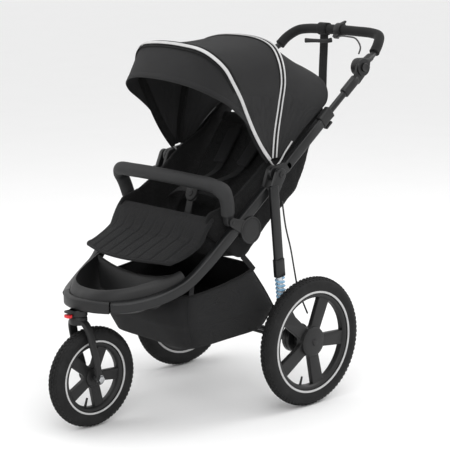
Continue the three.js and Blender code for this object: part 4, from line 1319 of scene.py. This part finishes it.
class STROLLER_OT_harness(bpy.types.Operator):
    """Builds the harness: shoulder straps with pads, lap straps, buckle and crotch strap"""

    bl_idname = "stroller.harness"
    bl_label = "Harness"

    def execute(self, context):

        def on_back(x, along, off):
            return (x, BACK_FOOT[0] + along * math.cos(BACK_LEAN) - off * math.sin(BACK_LEAN),
                    BACK_FOOT[1] + along * math.sin(BACK_LEAN) + off * math.cos(BACK_LEAN))

        for word, side in SIDES:
            path = [on_back(side * 62, 366, 20), on_back(side * 60, 330, 32), on_back(side * 54, 260, 35),
                    on_back(side * 44, 190, 42), (side * 24, -192, 668), (side * 12, -206, 660)]
            strap = sweep("strap", curve_through(path, 50), rounded(26, 2.4, 1), ease=0.8)
            pad_path = curve_through([on_back(side * 62, 340, 33), on_back(side * 57, 280, 37),
                                      on_back(side * 50, 215, 42)], 30)
            pad = sweep("pad", pad_path, rounded(48, 11, 5, 5), ease=4)
            lap = sweep("lap", curve_through([(side * 176, -150, 610), (side * 120, -168, 636),
                                              (side * 60, -190, 650),
                                              (side * 18, -206, 656)], 40), rounded(2.4, 26, 1), ease=0.8)
            dress(joined(f"shoulder_strap_{word}", [strap, pad]), "backrest", "strap_webbing")
            dress(joined(f"lap_strap_{word}", [lap]), "front_frame", "strap_webbing")
        crotch = sweep("crotch", [(0, -238, 574), (0, -232, 592), (0, -226, 612), (0, -220, 634)],
                       rounded(28, 4, 1.5),
                       ease=1)
        body = plate("body", [link(0, 0, 24, 0, 34, 19)], -6, 6, 3, facing="top")
        tilt = math.radians(70)

        def stand(co):
            x, y, z = co.T
            return np.stack([x, -216 + y * math.cos(tilt) - z * math.sin(tilt),
                             644 + y * math.sin(tilt) + z * math.cos(tilt)], 1)

        reshape(body, stand)
        button = plate("button", [circle(9, 28)], 5, 8, 1, facing="top")
        reshape(button, stand)
        dress(joined("buckle", [crotch, body, button]), "front_frame", "moulded_black", "harness_buckle")
        return {"FINISHED"}


class STROLLER_OT_basket(bpy.types.Operator):
    """Builds the storage basket as one sagging cloth shell with a bound rim, corner seams and straps"""

    bl_idname = "stroller.basket"
    bl_label = "Basket"

    def execute(self, context):
        levels = [(-392, -68, 184, 222, 238), (-414, -42, 192, 260, 272), (-430, -24, 198, 300, 308),
                  (-440, -76, 206, 346, 380), (-430, -132, 208, 390, 440)]
        profile = [curve_through([(lv[0], lv[1], lv[2]) for lv in levels], 22),
                   curve_through([(lv[3], lv[4], 0) for lv in levels], 22)]
        sides = 96
        rings = []
        for k in range(23):
            front, rear, half = profile[0][k]
            z_front, z_rear, _ = profile[1][k]
            bulge = 5 * math.sin(math.pi * k / 22)
            ring = []
            for turn in np.linspace(0, 2 * math.pi, sides, endpoint=False):
                squared = [math.copysign(abs(c) ** SQUARED_CORNER, c) for c in (math.cos(turn),
                        math.sin(turn))]
                y = (front + rear) / 2 + (rear - front) / 2 * squared[0]
                share = (y - front) / (rear - front)
                flat = 1 - abs(math.cos(2 * turn)) ** 0.5 if k < 22 else 0
                x = half * squared[1]
                x += math.copysign(bulge * abs(math.sin(turn)) ** 3, x)
                z = z_front + (z_rear - z_front) * share
                dip = 9 * (k / 22) ** 3 * math.sin(math.pi * share) * abs(squared[1])
                ring.append((x, y, z - dip - 1.5 * flat))
            rings.append(ring)
        floor = []
        first = np.array(rings[0])
        middle = first.mean(axis=0)
        for share in (0.02, 0.35, 0.65, 0.88, 0.97):
            ring = middle + (first - middle) * share
            ring[:, 2] -= 4 * (1 - share)
            floor.append([tuple(p) for p in ring])
        rows = floor + rings
        bag = loft("basket_bag", rows, caps=False, smooth=180)
        creased(bag, 4.5, 120, 7)
        apply_modifier(bag, "SOLIDIFY", thickness=1.6 * MM, offset=0.0)
        dress(bag, "front_frame", "seat_cloth", "basket", look="basket_cloth")
        rim = sweep("basket_rim", [*rings[-1], rings[-1][0], rings[-1][1]], circle(4, 12), ease=1)
        dress(rim, "front_frame", "seat_cloth")
        seams = []
        for _, side in SIDES:
            for corner in (0.155, 0.345):
                index = int(corner * sides)
                line = [rings[k][index] for k in range(1, 23)]
                line = [(side * abs(x) + side * 1.2, y, z) for x, y, z in line]
                seams.append(sweep("seam", line, circle(1.7, 8), ease=0.8))
            for top, foot in (((214, -408, 452), (206, -404, 396)), ((200, -196, 480), (203, -150, 430))):
                strap = [(side * top[0], *top[1:]),
                         (side * (top[0] + foot[0]) / 2, (top[1] + foot[1]) / 2 + 1,
                         (top[2] + foot[2]) / 2), (side * foot[0], *foot[1:])]
                seams.append(sweep("strap", curve_through(strap, 12), rounded(2.4, 18, 1), ease=0.8))
        ties = joined("basket_straps", seams)
        dress(ties, "front_frame", "strap_webbing")
        return {"FINISHED"}


class STROLLER_OT_stage(bpy.types.Operator):
    """Sets the pale floor, the soft lights and the camera"""

    bl_idname = "stroller.stage"
    bl_label = "Stage, lights and camera"

    def execute(self, context):
        scene = context.scene
        size = FLOOR_HALF_WIDTH
        mesh = bpy.data.meshes.new("floor")
        mesh.from_pydata([(-size, -size, 0), (size, -size, 0), (size, size, 0), (-size, size, 0)], [],
                         [(0, 1, 2, 3)])
        floor = bpy.data.objects.new("floor", mesh)
        scene.collection.objects.link(floor)
        paper = Finish("studio_paper", roughness=0.9)
        mottle = paper.noise(3.0, 2.0)
        paper.drive(base_color=paper.tint(mottle, (0.90, 0.90, 0.90), (0.92, 0.92, 0.92)))
        mesh.materials.append(paper.material)
        world = bpy.data.worlds.new("studio")
        world.use_nodes = True
        world.node_tree.nodes["Background"].inputs["Color"].default_value = (1, 1, 1, 1)
        world.node_tree.nodes["Background"].inputs["Strength"].default_value = WORLD_STRENGTH
        scene.world = world
        power = scene.stroller_sizes.key_power
        lamps = (("key", (2.6, -2.4, 3.0), 2.4, power), ("fill", (-3.0, -1.6, 2.2), 2.6, power * 0.45),
                 ("rim", (1.4, 3.2, 2.6), 1.6, power * 0.8), ("top", (0.0, -0.2, 3.4), 2.0, power * 0.5))
        for name, place, width, watts in lamps:
            lamp = bpy.data.lights.new(name, "AREA")
            lamp.energy = watts
            lamp.size = width
            holder = bpy.data.objects.new(name, lamp)
            holder.location = place
            holder.rotation_euler = (Vector((0, 0, 0.55)) - Vector(place)).to_track_quat("-Z",
                    "Y").to_euler()
            scene.collection.objects.link(holder)
        camera = bpy.data.objects.new("camera", bpy.data.cameras.new("camera"))
        camera.location = CAMERA_PLACE
        camera.rotation_euler = CAMERA_TURN
        camera.data.lens = CAMERA_LENS
        camera.data.sensor_width = 36
        scene.collection.objects.link(camera)
        scene.camera = camera
        scene.view_settings.view_transform = "Standard"
        return {"FINISHED"}


class STROLLER_PT_build(bpy.types.Panel):
    """Lists the stroller's sizes, colours and pieces"""

    bl_idname = "STROLLER_PT_build"
    bl_label = "Jogging Stroller"
    bl_space_type = "VIEW_3D"
    bl_region_type = "UI"
    bl_category = "Stroller"

    def draw(self, context):
        for group in (context.scene.stroller_sizes, context.scene.stroller_colours):
            for key in group.__annotations__:
                self.layout.prop(group, key)
        for piece in OPERATORS:
            self.layout.operator(piece.bl_idname)


OPERATORS = (STROLLER_OT_stage, STROLLER_OT_frame, STROLLER_OT_hinges, STROLLER_OT_footplate,
             STROLLER_OT_fork,
             STROLLER_OT_wheels, STROLLER_OT_rear, STROLLER_OT_handlebar, STROLLER_OT_bumper,
             STROLLER_OT_canopy,
             STROLLER_OT_seat, STROLLER_OT_calf_rest, STROLLER_OT_harness, STROLLER_OT_basket)
CLASSES = (StrollerSizes, StrollerColours, *OPERATORS, STROLLER_PT_build)


def register():
    for each in CLASSES:
        bpy.utils.register_class(each)
    bpy.types.Scene.stroller_sizes = PointerProperty(type=StrollerSizes)
    bpy.types.Scene.stroller_colours = PointerProperty(type=StrollerColours)


def unregister():
    del bpy.types.Scene.stroller_colours
    del bpy.types.Scene.stroller_sizes
    for each in reversed(CLASSES):
        bpy.utils.unregister_class(each)


def main():
    """Builds every piece in order."""
    register()
    for operator in OPERATORS:
        group, name = operator.bl_idname.split(".")
        getattr(getattr(bpy.ops, group), name)()


if __name__ == "__main__":
    main()
